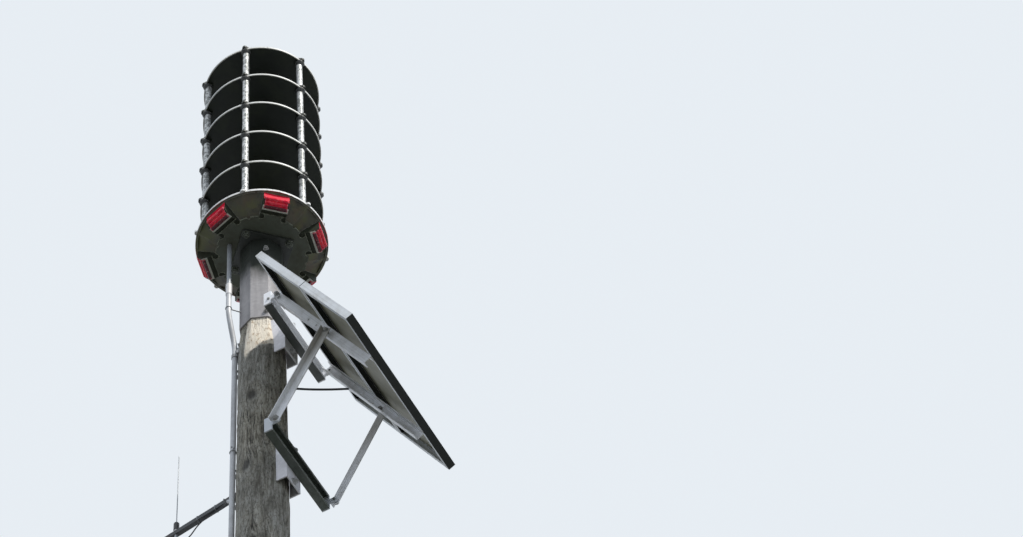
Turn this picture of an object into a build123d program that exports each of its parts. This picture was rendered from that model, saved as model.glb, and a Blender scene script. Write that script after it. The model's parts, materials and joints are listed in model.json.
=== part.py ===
"""Civil defence siren tower: a wooden pole with an acoustic horn stack, lamps and a solar panel mount.

Origin: centre of the pole's foot at ground level. +Z is up, +X points from the pole out to the
panels, and +Y runs along the two cross arms that carry them. Millimetres throughout.
"""
from build123d import *
from math import asin, atan, atan2, cos, degrees, hypot, radians, sin, sqrt, tan
import os

# Pole
pole_foot_diameter = 336
pole_top_diameter = 224
head_height = 13400
shaved_flats = 195.6
shaved_length = 250
shave_step = 20
shave_overrun = 1

# Octagonal sleeve and the square flange that carry the head
sleeve_flats = 212
sleeve_wall = 8
sleeve_length = 688
flange_side = 270
flange_thickness = 16
flange_corner = 18
flange_bolt_spacing = 225
flange_bolt_hole = 22

# Head: base pan, hub plate and horn discs
horn_levels = 5
horn_pitch = 301
horn_radius = 319
horn_sheet = 4
horn_rise = 34
horn_bend_reach = 0.55
horn_bend_rise = 0.45
rim_height = 12
rim_sheet = 5
collar_width = 6
collar_height = 12
ear_reach = 337
ear_width = 28
ear_thickness = 16
ear_root = 24
ear_inner_reach = 200
pan_radius = 339
pan_lip = 14
pan_lip_width = 8
pan_depth = 90
pan_foot_radius = 205
pan_ear_shift = 14
flute_dip = 2.4
flute_spread = 1.15
flute_wall = 12
hub_radius = 236
hub_thickness = 6
hub_notch_radius = 16
hub_notch_turn = 15.5
hub_crease_radius = 9
core_radius = 95
core_shoulder = 18
core_waist = 0.82
core_waist_share = 0.3

# Posts between the horn discs
post_count = 6
post_circle_radius = 300
post_turn = 13.5
rod_diameter = 16
spacer_diameter = 34
rod_clearance = 0.3
nut_diameter = 27
nut_height = 14
rod_tail = 8

# Lamps round the base pan
lamp_width = 118
lamp_thickness = 14
lamp_top_radius = 332
lamp_top_drop = 65
lamp_foot_radius = 292
lamp_foot_drop = 112
lamp_ribs = 3
lamp_rib_depth = 5
lamp_ear = 7
lamp_ear_step = 3
lamp_gap = 0.3
shelf_inner_radius = 196
shelf_radius = 247
bracket_sink = 10

# Cross arms and their standoffs
arm_length = 516
arm_width = 40
arm_height = 96
arm_wall = 4
arm_lip = 14
arm_back = 160
arm_drops = {"upper": 955, "lower": 1955}
standoff_width = 122
standoff_height = 272
standoff_sheet = 6
plate_thickness = 6

# Panel mount: rails, braces and their pivots
tilt_pivot_reach = 232
tilt_pivot_below_arm = 5
brace_pivot_reach = 226
brace_pivot_above_arm = 1
pivot_eye_radius = 16
panel_tilt = 61.7
rail_depth = 44
rail_width = 34
rail_wall = 4
rail_start = -22
rail_end = 955
pivot_pin_diameter = 12
pin_clearance = 0.08
pin_tail = 8
brace_bolt_reach = 563
brace_bolt_offset = -8
brace_leg = 44
brace_flange = 28
brace_sheet = 4
brace_foot_overhang = 16
brace_top_overhang = 12
side_gap = 6
hole_diameter = 12
spare_holes = [352, 435, 481]

# Solar panels
panel_width = 980
panel_height = 485
panel_gap = 5
panel_depth = 38
panel_flange = 26
panel_start = -14
frame_wall = 3
frame_ledge = 8
glass_thickness = 5
glass_inset = 2

# Cable from the pole to the far rail, and how much of the shorter run a cord's corner rounds off
cable_diameter = 11
corner_share = 0.45
cable_route = [
    (106, 38, -1272),
    (152, 78, -1264),
    (198, 119, -1252),
    (244, 159, -1237),
    (290, 200, -1219),
    (335, 240, -1198),
]

# Conduit down the pole
riser_diameter = 23
riser_place = (-113, -132)
riser_length = 357
conduit_azimuth = 295.9
coupling_diameter = 32
coupling_length = 94
conduit_diameter = 27
conduit_straight = 160
conduit_offset_length = 195
conduit_bend_radius = 240
conduit_standoff = 3
conduit_gap = 0.3
strap_pitch = 1600
strap_first_drop = 980
strap_height = 22
strap_sheet = 3
strap_foot = 24
strap_seat = 11

# Antenna on its arm
antenna_azimuth = 262
antenna_arm_side = 24
antenna_arm_wall = 2
antenna_arm_reach = 640
antenna_arm_drop = 1950
antenna_place = 500
antenna_ring_diameter = 20
antenna_ring_height = 14
antenna_base_diameter = 27
antenna_base_height = 66
antenna_base_straight = 58
antenna_neck = 0.6
whip_diameter = 5
whip_length = 500
connector_diameter = 16
connector_length = 25
coax_diameter = 6
coax_route = [
    (-495, 70, -37),
    (-495, 70, -67),
    (-485, 63, -93),
    (-459, 55, -108),
    (-427, 52, -103),
    (-401, 52, -81),
    (-380, 52, -50),
    (-356, 51, -28),
    (-317, 45, -19),
    (-267, 37, -16.5),
    (-214, 24, -22),
    (-195, 2, -34),
    (-183, -25, -52),
    (-176, -47, -78),
    (-165, -59, -107),
    (-146, -59.5, -126.4),
]
gland_diameter = 16
gland_length = 30

# Control cabinet near the foot
cabinet_width = 420
cabinet_height = 620
cabinet_depth = 230
cabinet_foot = 1500
cabinet_corner = 12
cabinet_standoff = 7
door_margin = 14
door_thickness = 12
hood_overhang = 18
hood_thickness = 10
hinge_diameter = 14
hinge_length = 60
hinge_inset = 110
cabinet_bar_height = 40
cabinet_bar_width = 160
cabinet_bar_reach = 100
cabinet_bar_inset = 80


def place_by_azimuth(shape, azimuth):
    """Turn a shape that was made along +X so that it points to an azimuth, 0 being towards -Y."""
    return Rot(0, 0, azimuth - 90) * shape


def radial_block(outline, half_width):
    """A block along +X from an outline of (radius, height) points, centred on the XZ plane."""
    return extrude(Plane.XZ * make_face(Polyline(*outline, close=True)), half_width, both=True)


def pole_radius(height):
    share = height / head_height
    return (pole_foot_diameter + (pole_top_diameter - pole_foot_diameter) * share) / 2


def drop(distance):
    """Height of a point given as a drop below the rim of the base pan."""
    return head_height - distance


hub_foot = pan_depth + hub_thickness
flange_foot = hub_foot + flange_thickness
sleeve_foot = flange_foot + sleeve_length
post_azimuths = [post_turn + 360 / post_count * k for k in range(post_count)]
lamp_azimuths = [a + 180 / post_count for a in post_azimuths]


def make_pole():
    foot_radius = pole_foot_diameter / 2
    top = drop(flange_foot)
    top_radius = pole_radius(top)
    outline = Polyline((0, 0), (foot_radius, 0), (top_radius, top), (0, top), close=True)
    pole = revolve(Plane.XZ * make_face(outline), Axis.Z)
    flat = shaved_flats / 2
    shave_foot = drop(sleeve_foot + shaved_length)
    shave_top = drop(sleeve_foot + shave_step)
    outside = 2 * pole_foot_diameter
    run_out = pole_radius(shave_foot) + shave_overrun
    above = top + shave_step
    side = [(flat, above), (flat, shave_top), (run_out, shave_foot)]
    side += [(outside, shave_foot), (outside, above)]
    shaving = radial_block(side, outside)
    for k in range(8):
        pole -= Rot(0, 0, 45 * (k + 0.5)) * shaving
    return pole


def octagon(flats):
    """Eight-sided outline with its corners on the X and Y axes, as the flange has."""
    return RegularPolygon(flats / 2, 8, major_radius=False)


def make_sleeve():
    ring = octagon(sleeve_flats) - octagon(sleeve_flats - 2 * sleeve_wall)
    return Pos(0, 0, drop(sleeve_foot)) * extrude(ring, sleeve_length)


def bolt_corners():
    return [Pos(x, y) for x, y in rotated_square(flange_bolt_spacing / 2)]


def rotated_square(half):
    reach = half * sqrt(2)
    return [(reach, 0), (0, reach), (-reach, 0), (0, -reach)]


def make_flange():
    plate = RectangleRounded(flange_side, flange_side, flange_corner, rotation=45)
    for corner in bolt_corners():
        plate -= corner * Circle(flange_bolt_hole / 2)
    return Pos(0, 0, drop(flange_foot)) * extrude(plate, flange_thickness)


def make_hub_plate():
    """Disc with an arm under each lamp, notched beside the arms and at each post's crease."""
    plate = Circle(hub_radius)
    for azimuth in lamp_azimuths:
        arm = Pos(shelf_radius / 2, 0) * Rectangle(shelf_radius, 2 * bracket_half)
        plate += place_by_azimuth(arm, azimuth)
    for azimuth in post_azimuths:
        plate -= place_by_azimuth(Pos(hub_radius, 0) * Circle(hub_crease_radius), azimuth)
        for side in (-1, 1):
            turn = azimuth + side * hub_notch_turn
            plate -= place_by_azimuth(Pos(hub_radius, 0) * Circle(hub_notch_radius), turn)
    for corner in bolt_corners():
        plate -= corner * Circle(flange_bolt_hole / 2)
    return Pos(0, 0, drop(hub_foot)) * extrude(plate, hub_thickness)


lamp_slope = atan2(lamp_foot_drop - lamp_top_drop, lamp_top_radius - lamp_foot_radius)
lamp_normal = (sin(lamp_slope), -cos(lamp_slope))
lamp_height = hypot(lamp_top_radius - lamp_foot_radius, lamp_foot_drop - lamp_top_drop)
bracket_half = lamp_width / 2 + lamp_ear
pan_slope = atan2(pan_depth - pan_lip, pan_radius - pan_lip_width - pan_foot_radius)


def lamp_point(along, out):
    """Point (radius, height) at a distance along the lamp's face from its foot, and out from it."""
    radius = lamp_foot_radius + along * cos(lamp_slope) + out * lamp_normal[0]
    height = head_height - lamp_foot_drop + along * sin(lamp_slope) + out * lamp_normal[1]
    return (radius, height)


def pan_underside(radius):
    """Drop of the pan's sloping underside at a radius."""
    return pan_depth - (radius - pan_foot_radius) * tan(pan_slope)


def make_bracket_body():
    """Wedge from the hub's arm up into the pan, with the sloping seat of the lamp on its outer side."""
    back = -lamp_thickness - lamp_gap
    seat_top = lamp_point(lamp_height, back)
    outline = [
        seat_top,
        lamp_point(0, back),
        (shelf_radius, drop(pan_depth)),
        (shelf_inner_radius, drop(pan_depth)),
        (shelf_inner_radius, drop(pan_depth - bracket_sink)),
        (seat_top[0], drop(pan_underside(seat_top[0]) - bracket_sink)),
    ]
    return radial_block(outline, bracket_half)


def make_lamp_bracket():
    body = make_bracket_body()
    tip = 4
    ear = [
        lamp_point(tip, -lamp_thickness - 1),
        lamp_point(3 * tip, -lamp_ear_step),
        lamp_point(lamp_height - 3 * tip, -lamp_ear_step),
        lamp_point(lamp_height - tip, -lamp_thickness - 1),
    ]
    for side in (-1, 1):
        middle = side * (lamp_width / 2 + (lamp_ear + lamp_gap) / 2)
        body += Pos(0, middle, 0) * radial_block(ear, (lamp_ear - lamp_gap) / 2)
    return body


def make_lamp():
    pitch = lamp_height / lamp_ribs
    valley = -lamp_rib_depth
    edges = [Line(lamp_point(0, -lamp_thickness), lamp_point(0, valley))]
    for k in range(lamp_ribs):
        start = lamp_point(pitch * k, valley)
        crown = lamp_point(pitch * (k + 0.5), 0)
        end = lamp_point(pitch * (k + 1), valley)
        edges.append(ThreePointArc(start, crown, end))
    edges.append(Line(lamp_point(lamp_height, valley), lamp_point(lamp_height, -lamp_thickness)))
    edges.append(Line(lamp_point(lamp_height, -lamp_thickness), lamp_point(0, -lamp_thickness)))
    return extrude(Plane.XZ * make_face(edges), lamp_width / 2, both=True)


def flank_middle(radius, depth, side):
    """Middle of the flank between a post's crease and the lamp bracket beside it, and its width."""
    half = radians(180 / post_count) - asin(bracket_half / radius)
    point = Vector(radius, 0, -depth).rotate(Axis.Z, side * degrees(half / 2))
    return point, 2 * radius * sin(half / 2)


def make_flute(side):
    """Cone that hollows one flank of the pan, its tip where the flank would narrow to nothing."""
    inner, inner_width = flank_middle(pan_foot_radius, pan_depth, side)
    outer, outer_width = flank_middle(pan_radius - pan_lip_width, pan_lip, side)
    run = outer - inner
    tip = inner - run * (inner_width / (outer_width - inner_width))
    reach = (outer - tip).length
    dip = radians(flute_dip)
    spread = atan(flute_spread * outer_width / 2 / reach)
    tilt = atan((cos(dip) - cos(spread)) / sin(dip))
    outward = Vector(outer.X, outer.Y, 0).normalized() * sin(pan_slope) - Vector(0, 0, cos(pan_slope))
    axis = run.normalized() * cos(tilt) + outward * sin(tilt)
    flute_side = [(0, 0), (reach * tan(tilt + dip), reach), (0, reach)]
    cone = revolve(Plane.XZ * make_face(Polyline(*flute_side, close=True)), Axis.Z)
    within = Cylinder(pan_radius - flute_wall, 4 * pan_depth)
    return Plane(origin=tip, z_dir=axis) * cone & within


def make_ear():
    tongue = SlotCenterToCenter(2 * (ear_reach - ear_width / 2 - ear_inner_reach), ear_width)
    outer_half = Pos(ear_reach, 0) * Rectangle(2 * (ear_reach - ear_inner_reach), 2 * ear_width)
    return Pos(ear_inner_reach, 0) * tongue & outer_half


def ears(height, inner_radius):
    """Six lugs that reach past the rim, each with the hole of its post rod."""
    lug = make_ear() - Circle(inner_radius)
    lug -= Pos(post_circle_radius, 0) * Circle(rod_diameter / 2 + rod_clearance)
    solid = extrude(lug, ear_thickness / 2, both=True)
    return [Pos(0, 0, height) * place_by_azimuth(solid, azimuth) for azimuth in post_azimuths]


def rod_holes(height, depth):
    hole = Pos(post_circle_radius, 0, height) * Cylinder(rod_diameter / 2 + rod_clearance, depth)
    return [place_by_azimuth(hole, azimuth) for azimuth in post_azimuths]


def make_pan():
    outline = [
        (0, 0),
        (pan_radius, 0),
        (pan_radius, -pan_lip),
        (pan_radius - pan_lip_width, -pan_lip),
        (pan_foot_radius, -pan_depth),
        (0, -pan_depth),
    ]
    pan = revolve(Plane.XZ * make_face(Polyline(*outline, close=True)), Axis.Z)
    pan = Pos(0, 0, head_height) * pan
    flutes = [Pos(0, 0, head_height) * make_flute(side) for side in (-1, 1)]
    for azimuth in post_azimuths:
        for flute in flutes:
            pan -= place_by_azimuth(flute, azimuth)
    recess = make_bracket_body()
    for azimuth in lamp_azimuths:
        pan -= place_by_azimuth(recess, azimuth)
    lug = Pos(pan_ear_shift, 0, 0) * extrude(make_ear() - Circle(pan_radius - ear_root), -pan_lip)
    for azimuth in post_azimuths:
        pan += Pos(0, 0, head_height) * place_by_azimuth(lug, azimuth)
    return pan


def make_horn_disc(level):
    """Spun dish that rises to a collar round the core, with an upright rim and six lugs."""
    collar = core_radius + collar_width
    bend = collar + (horn_radius - collar) * horn_bend_reach
    bend_rise = horn_rise * horn_bend_rise
    band = horn_radius - rim_sheet
    rim_foot = (horn_sheet - rim_height) / 2
    outline = [
        (core_radius, horn_rise),
        (bend, bend_rise),
        (band, 0),
        (band, rim_foot),
        (horn_radius, rim_foot),
        (horn_radius, rim_foot + rim_height),
        (band, rim_foot + rim_height),
        (band, horn_sheet),
        (bend, bend_rise + horn_sheet),
        (collar, horn_rise + horn_sheet),
        (collar, horn_rise + collar_height),
        (core_radius, horn_rise + collar_height),
    ]
    disc = revolve(Plane.XZ * make_face(Polyline(*outline, close=True)), Axis.Z)
    for lug in ears(horn_sheet / 2, post_circle_radius - ear_root):
        disc += lug
    for hole in rod_holes(horn_sheet / 2, 4 * ear_thickness):
        disc -= hole
    return Pos(0, 0, head_height + horn_pitch * level) * disc


def make_horn_core(level):
    """Driver housing between one horn level and the next, waisted like a spool."""
    foot = head_height + (horn_pitch * level + horn_rise + collar_height if level else 0)
    top = head_height + horn_pitch * (level + 1) + horn_rise
    length = top - foot
    waist = core_radius * core_waist
    waist_foot = length * (1 - core_waist_share) / 2
    outline = [
        (0, 0),
        (core_radius, 0),
        (core_radius, core_shoulder),
        (waist, waist_foot),
        (waist, length - waist_foot),
        (core_radius, length - core_shoulder),
        (core_radius, length),
        (0, length),
    ]
    core = revolve(Plane.XZ * make_face(Polyline(*outline, close=True)), Axis.Z)
    return Pos(0, 0, foot) * core


def make_post():
    """Threaded rod with a spacer tube between each pair of lugs and a nut at its top."""
    half_ear = ear_thickness / 2
    top = horn_pitch * horn_levels + horn_sheet / 2 + half_ear
    post = extrude(Circle(rod_diameter / 2), top + nut_height + rod_tail)
    floor = 0
    for level in range(1, horn_levels + 1):
        ceiling = horn_pitch * level + horn_sheet / 2 - half_ear
        post += Pos(0, 0, floor) * extrude(Circle(spacer_diameter / 2), ceiling - floor)
        floor = ceiling + ear_thickness
    post += Pos(0, 0, top) * extrude(RegularPolygon(nut_diameter / 2, 6), nut_height)
    return Pos(post_circle_radius, 0, head_height) * post


tilt_pivot_drop = arm_drops["upper"] + tilt_pivot_below_arm
brace_pivot_drop = arm_drops["lower"] - brace_pivot_above_arm
slope = radians(panel_tilt)
down_slope = Vector(cos(slope), 0, -sin(slope))
face_normal = Vector(sin(slope), 0, cos(slope))
tilt_pivot = Vector(tilt_pivot_reach, 0, drop(tilt_pivot_drop))
brace_pivot = Vector(brace_pivot_reach, 0, drop(brace_pivot_drop))
rail_side = arm_length / 2 - side_gap
brace_side = arm_length / 2 + plate_thickness + side_gap
pivot_bore = pivot_pin_diameter + 2 * pin_clearance
mount_plane = Plane(origin=tilt_pivot, x_dir=down_slope, z_dir=Vector(0, -1, 0))


def on_slope(shape):
    """Take a shape drawn with X down the slope and Y square to it up to its place on the mount."""
    return mount_plane * shape


def make_standoff(name):
    """Bent sheet saddle: a web behind the cross arm and two cheeks that reach back to the pole."""
    half = standoff_width / 2
    web = Pos(arm_back - standoff_sheet / 2, 0) * Rectangle(standoff_sheet, standoff_width)
    cheek_length = arm_back - pole_top_diameter / 4
    profile = web
    for side in (-1, 1):
        middle = side * (half - standoff_sheet / 2)
        profile += Pos(arm_back - cheek_length / 2, middle) * Rectangle(cheek_length, standoff_sheet)
    foot = drop(arm_drops[name] + standoff_height / 2)
    saddle = Pos(0, 0, foot) * extrude(profile, standoff_height)
    return saddle - pole


def make_arm(name, pivot_reach, pivot_drop, pin_inner, pin_outer):
    """Lipped channel, open away from the pole, with a pivot plate and a pin on each end."""
    middle = arm_back + arm_width / 2
    section = Pos(middle, 0) * Rectangle(arm_width, arm_height)
    section -= Pos(middle, 0) * Rectangle(arm_width - 2 * arm_wall, arm_height - 2 * arm_wall)
    section -= Pos(arm_back + arm_width, 0) * Rectangle(3 * arm_wall, arm_height - 2 * arm_lip)
    arm = extrude(Plane.XZ * section, arm_length / 2, both=True)
    rise = arm_drops[name] - pivot_drop
    neck = pivot_reach - arm_back
    plate = Pos(middle, 0) * Rectangle(arm_width, arm_height)
    plate += Pos(arm_back + neck / 2, rise) * Rectangle(neck, 2 * pivot_eye_radius)
    plate += Pos(pivot_reach, rise) * Circle(pivot_eye_radius)
    plate = extrude(Plane.XZ * plate, plate_thickness / 2, both=True)
    pin = Cylinder(pivot_pin_diameter / 2, pin_outer - pin_inner, rotation=(90, 0, 0))
    for side in (-1, 1):
        arm += Pos(0, side * (arm_length + plate_thickness) / 2, 0) * plate
        arm += Pos(pivot_reach, side * (pin_inner + pin_outer) / 2, rise) * pin
    return Pos(0, 0, drop(arm_drops[name])) * arm


def make_rail(side):
    """Channel with its web on the outer side and its flanges turned in under the panels."""
    middle = (rail_start + rail_end) / 2
    length = rail_end - rail_start
    half = rail_depth / 2
    web = Pos(middle, 0, 0) * Box(length, rail_depth, rail_wall)
    web_place = rail_side - rail_wall / 2
    rail = Pos(0, 0, web_place) * web
    for edge in (-1, 1):
        offset = edge * (half - rail_wall / 2)
        rail += Pos(middle, offset, rail_side - rail_width / 2) * Box(length, rail_wall, rail_width)
    rail -= Pos(0, 0, web_place) * Cylinder(pivot_bore / 2, 4 * rail_wall)
    for reach in spare_holes + [brace_bolt_reach]:
        rail -= Pos(reach, brace_bolt_offset, web_place) * Cylinder(hole_diameter / 2, 4 * rail_wall)
    if side > 0:
        rail = mirror(rail, Plane.XY)
    return on_slope(rail)


def make_brace(side):
    """Unequal angle from the lower cross arm to the rail, its narrow leg turned outwards."""
    bolt = tilt_pivot + down_slope * brace_bolt_reach + face_normal * brace_bolt_offset
    run = bolt - brace_pivot
    length = run.length + brace_foot_overhang + brace_top_overhang
    middle = length / 2 - brace_foot_overhang
    brace = Pos(middle, 0, brace_side + brace_sheet / 2) * Box(length, brace_leg, brace_sheet)
    edge = (brace_leg - brace_sheet) / 2
    brace += Pos(middle, edge, brace_side + brace_flange / 2) * Box(length, brace_sheet, brace_flange)
    for reach, diameter in ((0, pivot_bore), (run.length, hole_diameter)):
        brace -= Pos(reach, 0, brace_side) * Cylinder(diameter / 2, 4 * brace_sheet)
    if side > 0:
        brace = mirror(brace, Plane.XY)
    return Plane(origin=brace_pivot, x_dir=run.normalized(), z_dir=Vector(0, -1, 0)) * brace


def panel_place(index):
    start = panel_start + index * (panel_height + panel_gap)
    return (start + panel_height / 2, rail_depth / 2)


def make_panel_frame(index):
    """Extruded border: an upright wall with a flange turned in along the underside."""
    along, floor = panel_place(index)
    frame = Pos(along, floor + panel_depth / 2, 0) * Box(panel_height, panel_depth, panel_width)
    inner_height = panel_height - 2 * frame_wall
    inner_width = panel_width - 2 * frame_wall
    hollow = Box(inner_height, panel_depth, inner_width)
    frame -= Pos(along, floor + panel_depth / 2 + frame_wall, 0) * hollow
    window = Box(panel_height - 2 * panel_flange, 4 * panel_depth, panel_width - 2 * panel_flange)
    frame -= Pos(along, floor, 0) * window
    ledge = Box(inner_height, frame_wall, inner_width)
    ledge -= Box(inner_height - 2 * frame_ledge, 2 * frame_wall, inner_width - 2 * frame_ledge)
    ledge_height = floor + panel_depth - glass_inset - glass_thickness - frame_wall / 2
    frame += Pos(along, ledge_height, 0) * ledge
    return on_slope(frame)


def make_panel_glass(index):
    along, floor = panel_place(index)
    height = floor + panel_depth - glass_inset - glass_thickness / 2
    sheet = Box(panel_height - 2 * frame_wall, glass_thickness, panel_width - 2 * frame_wall)
    return on_slope(Pos(along, height, 0) * sheet)


def tube_along(route, diameter, radii):
    path = FilletPolyline(*route, radius=radii)
    section = Plane(origin=path @ 0, z_dir=path % 0) * Circle(diameter / 2)
    return sweep(section, path=path)


def corner_radii(route):
    """Arc radius for each corner: a share of the shorter run over the tangent of half the turn."""
    points = [Vector(*p) for p in route]
    radii = []
    for before, corner, after in zip(points, points[1:], points[2:]):
        first = corner - before
        second = after - corner
        turn = radians(first.get_angle(second))
        radii.append(corner_share * min(first.length, second.length) / tan(turn / 2))
    return radii


def make_panel_cable():
    route = [(x, y, drop(-z)) for x, y, z in cable_route]
    radii = corner_radii(route)
    print("panel cable radii", [round(r) for r in radii])
    return tube_along(route, cable_diameter, radii) - pole - rail_far


conduit_direction = Vector(sin(radians(conduit_azimuth)), -cos(radians(conduit_azimuth)), 0)
riser_foot = hub_foot + riser_length
coupling_foot = riser_foot + coupling_length


def conduit_point(height):
    reach = pole_radius(height) + conduit_diameter / 2 + conduit_standoff
    return conduit_direction * reach + Vector(0, 0, height)


def make_riser():
    return Pos(*riser_place, drop(riser_foot)) * extrude(Circle(riser_diameter / 2), riser_length)


def make_coupling():
    coupling = extrude(Circle(coupling_diameter / 2), coupling_length)
    coupling = Pos(*riser_place, drop(coupling_foot)) * coupling
    return chamfer(coupling.edges().filter_by(GeomType.CIRCLE), 3)


def make_conduit():
    """Plain pipe with one offset bend, and the gland that takes the antenna's coax."""
    top = drop(coupling_foot)
    straight = top - conduit_straight
    joined = straight - conduit_offset_length
    route = [
        (*riser_place, top),
        (*riser_place, straight),
        tuple(conduit_point(joined)),
        tuple(conduit_point(cabinet_foot + cabinet_height + conduit_gap)),
    ]
    pipe = tube_along(route, conduit_diameter, conduit_bend_radius)
    mouth = Vector(*coax_route[-1]) + Vector(0, 0, drop(antenna_arm_drop))
    approach = (Vector(*coax_route[-1]) - Vector(*coax_route[-2])).normalized()
    gland = Plane(origin=mouth, z_dir=approach) * extrude(Circle(gland_diameter / 2), gland_length)
    return pipe + gland


def make_coax():
    route = [(x, y, z + drop(antenna_arm_drop)) for x, y, z in coax_route]
    radii = corner_radii(route)
    print("coax radii", [round(r) for r in radii])
    return tube_along(route, coax_diameter, radii)


def make_connector():
    top = drop(antenna_arm_drop) - antenna_arm_side / 2
    connector = Pos(antenna_place, 0, top) * extrude(Circle(connector_diameter / 2), -connector_length)
    return place_by_azimuth(connector, antenna_azimuth)


def strap_heights():
    heights = []
    height = drop(strap_first_drop)
    while height > cabinet_foot + cabinet_height + strap_pitch / 2:
        heights.append(height)
        height -= strap_pitch
    return heights


def make_straps():
    straps = []
    for height in strap_heights():
        centre = conduit_point(height)
        reach = hypot(centre.X, centre.Y)
        bore = conduit_diameter / 2
        outline = Pos(reach, 0) * Circle(bore + strap_sheet)
        outline += Pos(reach - bore, 0) * Rectangle(2 * bore, 2 * (bore + strap_sheet))
        foot = Rectangle(strap_seat, 2 * (bore + strap_foot))
        outline += Pos(pole_radius(height) + strap_sheet / 2 - 2, 0) * foot
        saddle = Pos(0, 0, height) * extrude(outline, strap_height / 2, both=True)
        straps.append(place_by_azimuth(saddle, conduit_azimuth) - conduit - pole)
    return Compound(children=straps)


def make_antenna_arm():
    tube = Rectangle(antenna_arm_side, antenna_arm_side)
    tube -= Rectangle(antenna_arm_side - 2 * antenna_arm_wall, antenna_arm_side - 2 * antenna_arm_wall)
    height = drop(antenna_arm_drop)
    start = pole_radius(height) - 4 * antenna_arm_wall
    arm = Plane.YZ * tube
    arm = Pos(start, 0, height) * extrude(arm, antenna_arm_reach - start)
    return place_by_azimuth(arm, antenna_azimuth) - pole


def make_antenna_base():
    """Moulded base on a short ring, its shoulder drawn in to the whip."""
    height = drop(antenna_arm_drop) + antenna_arm_side / 2
    ring = antenna_ring_diameter / 2
    radius = antenna_base_diameter / 2
    outline = [
        (0, 0),
        (ring, 0),
        (ring, antenna_ring_height),
        (radius, antenna_ring_height),
        (radius, antenna_base_straight),
        (antenna_neck * radius, antenna_base_height),
        (0, antenna_base_height),
    ]
    base = revolve(Plane.XZ * make_face(Polyline(*outline, close=True)), Axis.Z)
    return place_by_azimuth(Pos(antenna_place, 0, height) * base, antenna_azimuth)


def make_whip():
    height = drop(antenna_arm_drop) + antenna_arm_side / 2 + antenna_base_height
    whip = Pos(antenna_place, 0, height) * extrude(Circle(whip_diameter / 2), whip_length)
    return place_by_azimuth(whip, antenna_azimuth)


def cabinet_back():
    return pole_radius(cabinet_foot) + cabinet_standoff


def make_cabinet():
    """Plain closed case with a raised door, two hinge barrels and a thin hood."""
    middle = cabinet_foot + cabinet_height / 2
    box = Box(cabinet_depth, cabinet_width, cabinet_height)
    box = fillet(box.edges().filter_by(Axis.Z), cabinet_corner)
    front = cabinet_depth / 2
    door = Box(door_thickness, cabinet_width - 2 * door_margin, cabinet_height - 2 * door_margin)
    box += Pos(front + door_thickness / 2, 0, 0) * door
    hood = Box(cabinet_depth + hood_overhang, cabinet_width + hood_overhang, hood_thickness)
    box += Pos(hood_overhang / 2, 0, (cabinet_height - hood_thickness) / 2) * hood
    for side in (-1, 1):
        height = side * (cabinet_height / 2 - hinge_inset)
        hinge = Cylinder(hinge_diameter / 2, hinge_length)
        box += Pos(front, door_margin / 2 - cabinet_width / 2, height) * hinge
    return place_by_azimuth(Pos(cabinet_back() + front, 0, middle) * box, conduit_azimuth)


def make_cabinet_brackets():
    brackets = []
    for height in (cabinet_foot + cabinet_bar_inset, cabinet_foot + cabinet_height - cabinet_bar_inset):
        bar = Box(cabinet_bar_reach, cabinet_bar_width, cabinet_bar_height)
        bar = Pos(cabinet_back() - cabinet_bar_reach / 2, 0, height) * bar
        brackets.append(place_by_azimuth(bar, conduit_azimuth) - pole)
    return Compound(children=brackets)


pole = make_pole()
conduit = make_conduit()
rail_far = make_rail(1)
parts = {
    "pole": pole,
    "pole_sleeve": make_sleeve(),
    "head_flange": make_flange(),
    "base_hub": make_hub_plate(),
    "base_pan": make_pan(),
    "conduit": conduit,
    "conduit_riser": make_riser(),
    "conduit_coupling": make_coupling(),
    "conduit_straps": make_straps(),
    "panel_cable": make_panel_cable(),
    "antenna_arm": make_antenna_arm(),
    "antenna_base": make_antenna_base(),
    "coax_connector": make_connector(),
    "antenna_coax": make_coax(),
    "antenna_whip": make_whip(),
    "cabinet": make_cabinet(),
    "cabinet_brackets": make_cabinet_brackets(),
}
for level in range(horn_levels):
    parts[f"horn_disc_{level + 1}"] = make_horn_disc(level + 1)
    parts[f"horn_core_{level + 1}"] = make_horn_core(level)
post = make_post()
for k, azimuth in enumerate(post_azimuths, 1):
    parts[f"post_{k}"] = place_by_azimuth(post, azimuth)
lamp = make_lamp()
bracket = make_lamp_bracket()
for k, azimuth in enumerate(lamp_azimuths, 1):
    parts[f"lamp_{k}"] = place_by_azimuth(lamp, azimuth)
parts["lamp_brackets"] = Compound(children=[place_by_azimuth(bracket, a) for a in lamp_azimuths])
rail_pin = (rail_side - rail_wall - pin_tail, arm_length / 2 + plate_thickness + pin_tail)
brace_pin = (arm_length / 2 - pin_tail, brace_side + brace_sheet + pin_tail)
arm_pivots = {
    "upper": (tilt_pivot_reach, tilt_pivot_drop, *rail_pin),
    "lower": (brace_pivot_reach, brace_pivot_drop, *brace_pin),
}
for name, pivot in arm_pivots.items():
    parts[f"standoff_{name}"] = make_standoff(name)
    parts[f"cross_arm_{name}"] = make_arm(name, *pivot)
for index, name in enumerate(("upper", "lower")):
    parts[f"panel_frame_{name}"] = make_panel_frame(index)
    parts[f"panel_glass_{name}"] = make_panel_glass(index)
parts["rail_near"] = make_rail(-1)
parts["rail_far"] = rail_far
parts["brace_near"] = make_brace(-1)
parts["brace_far"] = make_brace(1)

os.makedirs("parts", exist_ok=True)
for name, shape in parts.items():
    export_step(shape, f"parts/{name}.step")
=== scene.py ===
"""Looks of the civil defence siren tower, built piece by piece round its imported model."""
import json
import math

import bpy
from mathutils import Matrix, Vector


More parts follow.
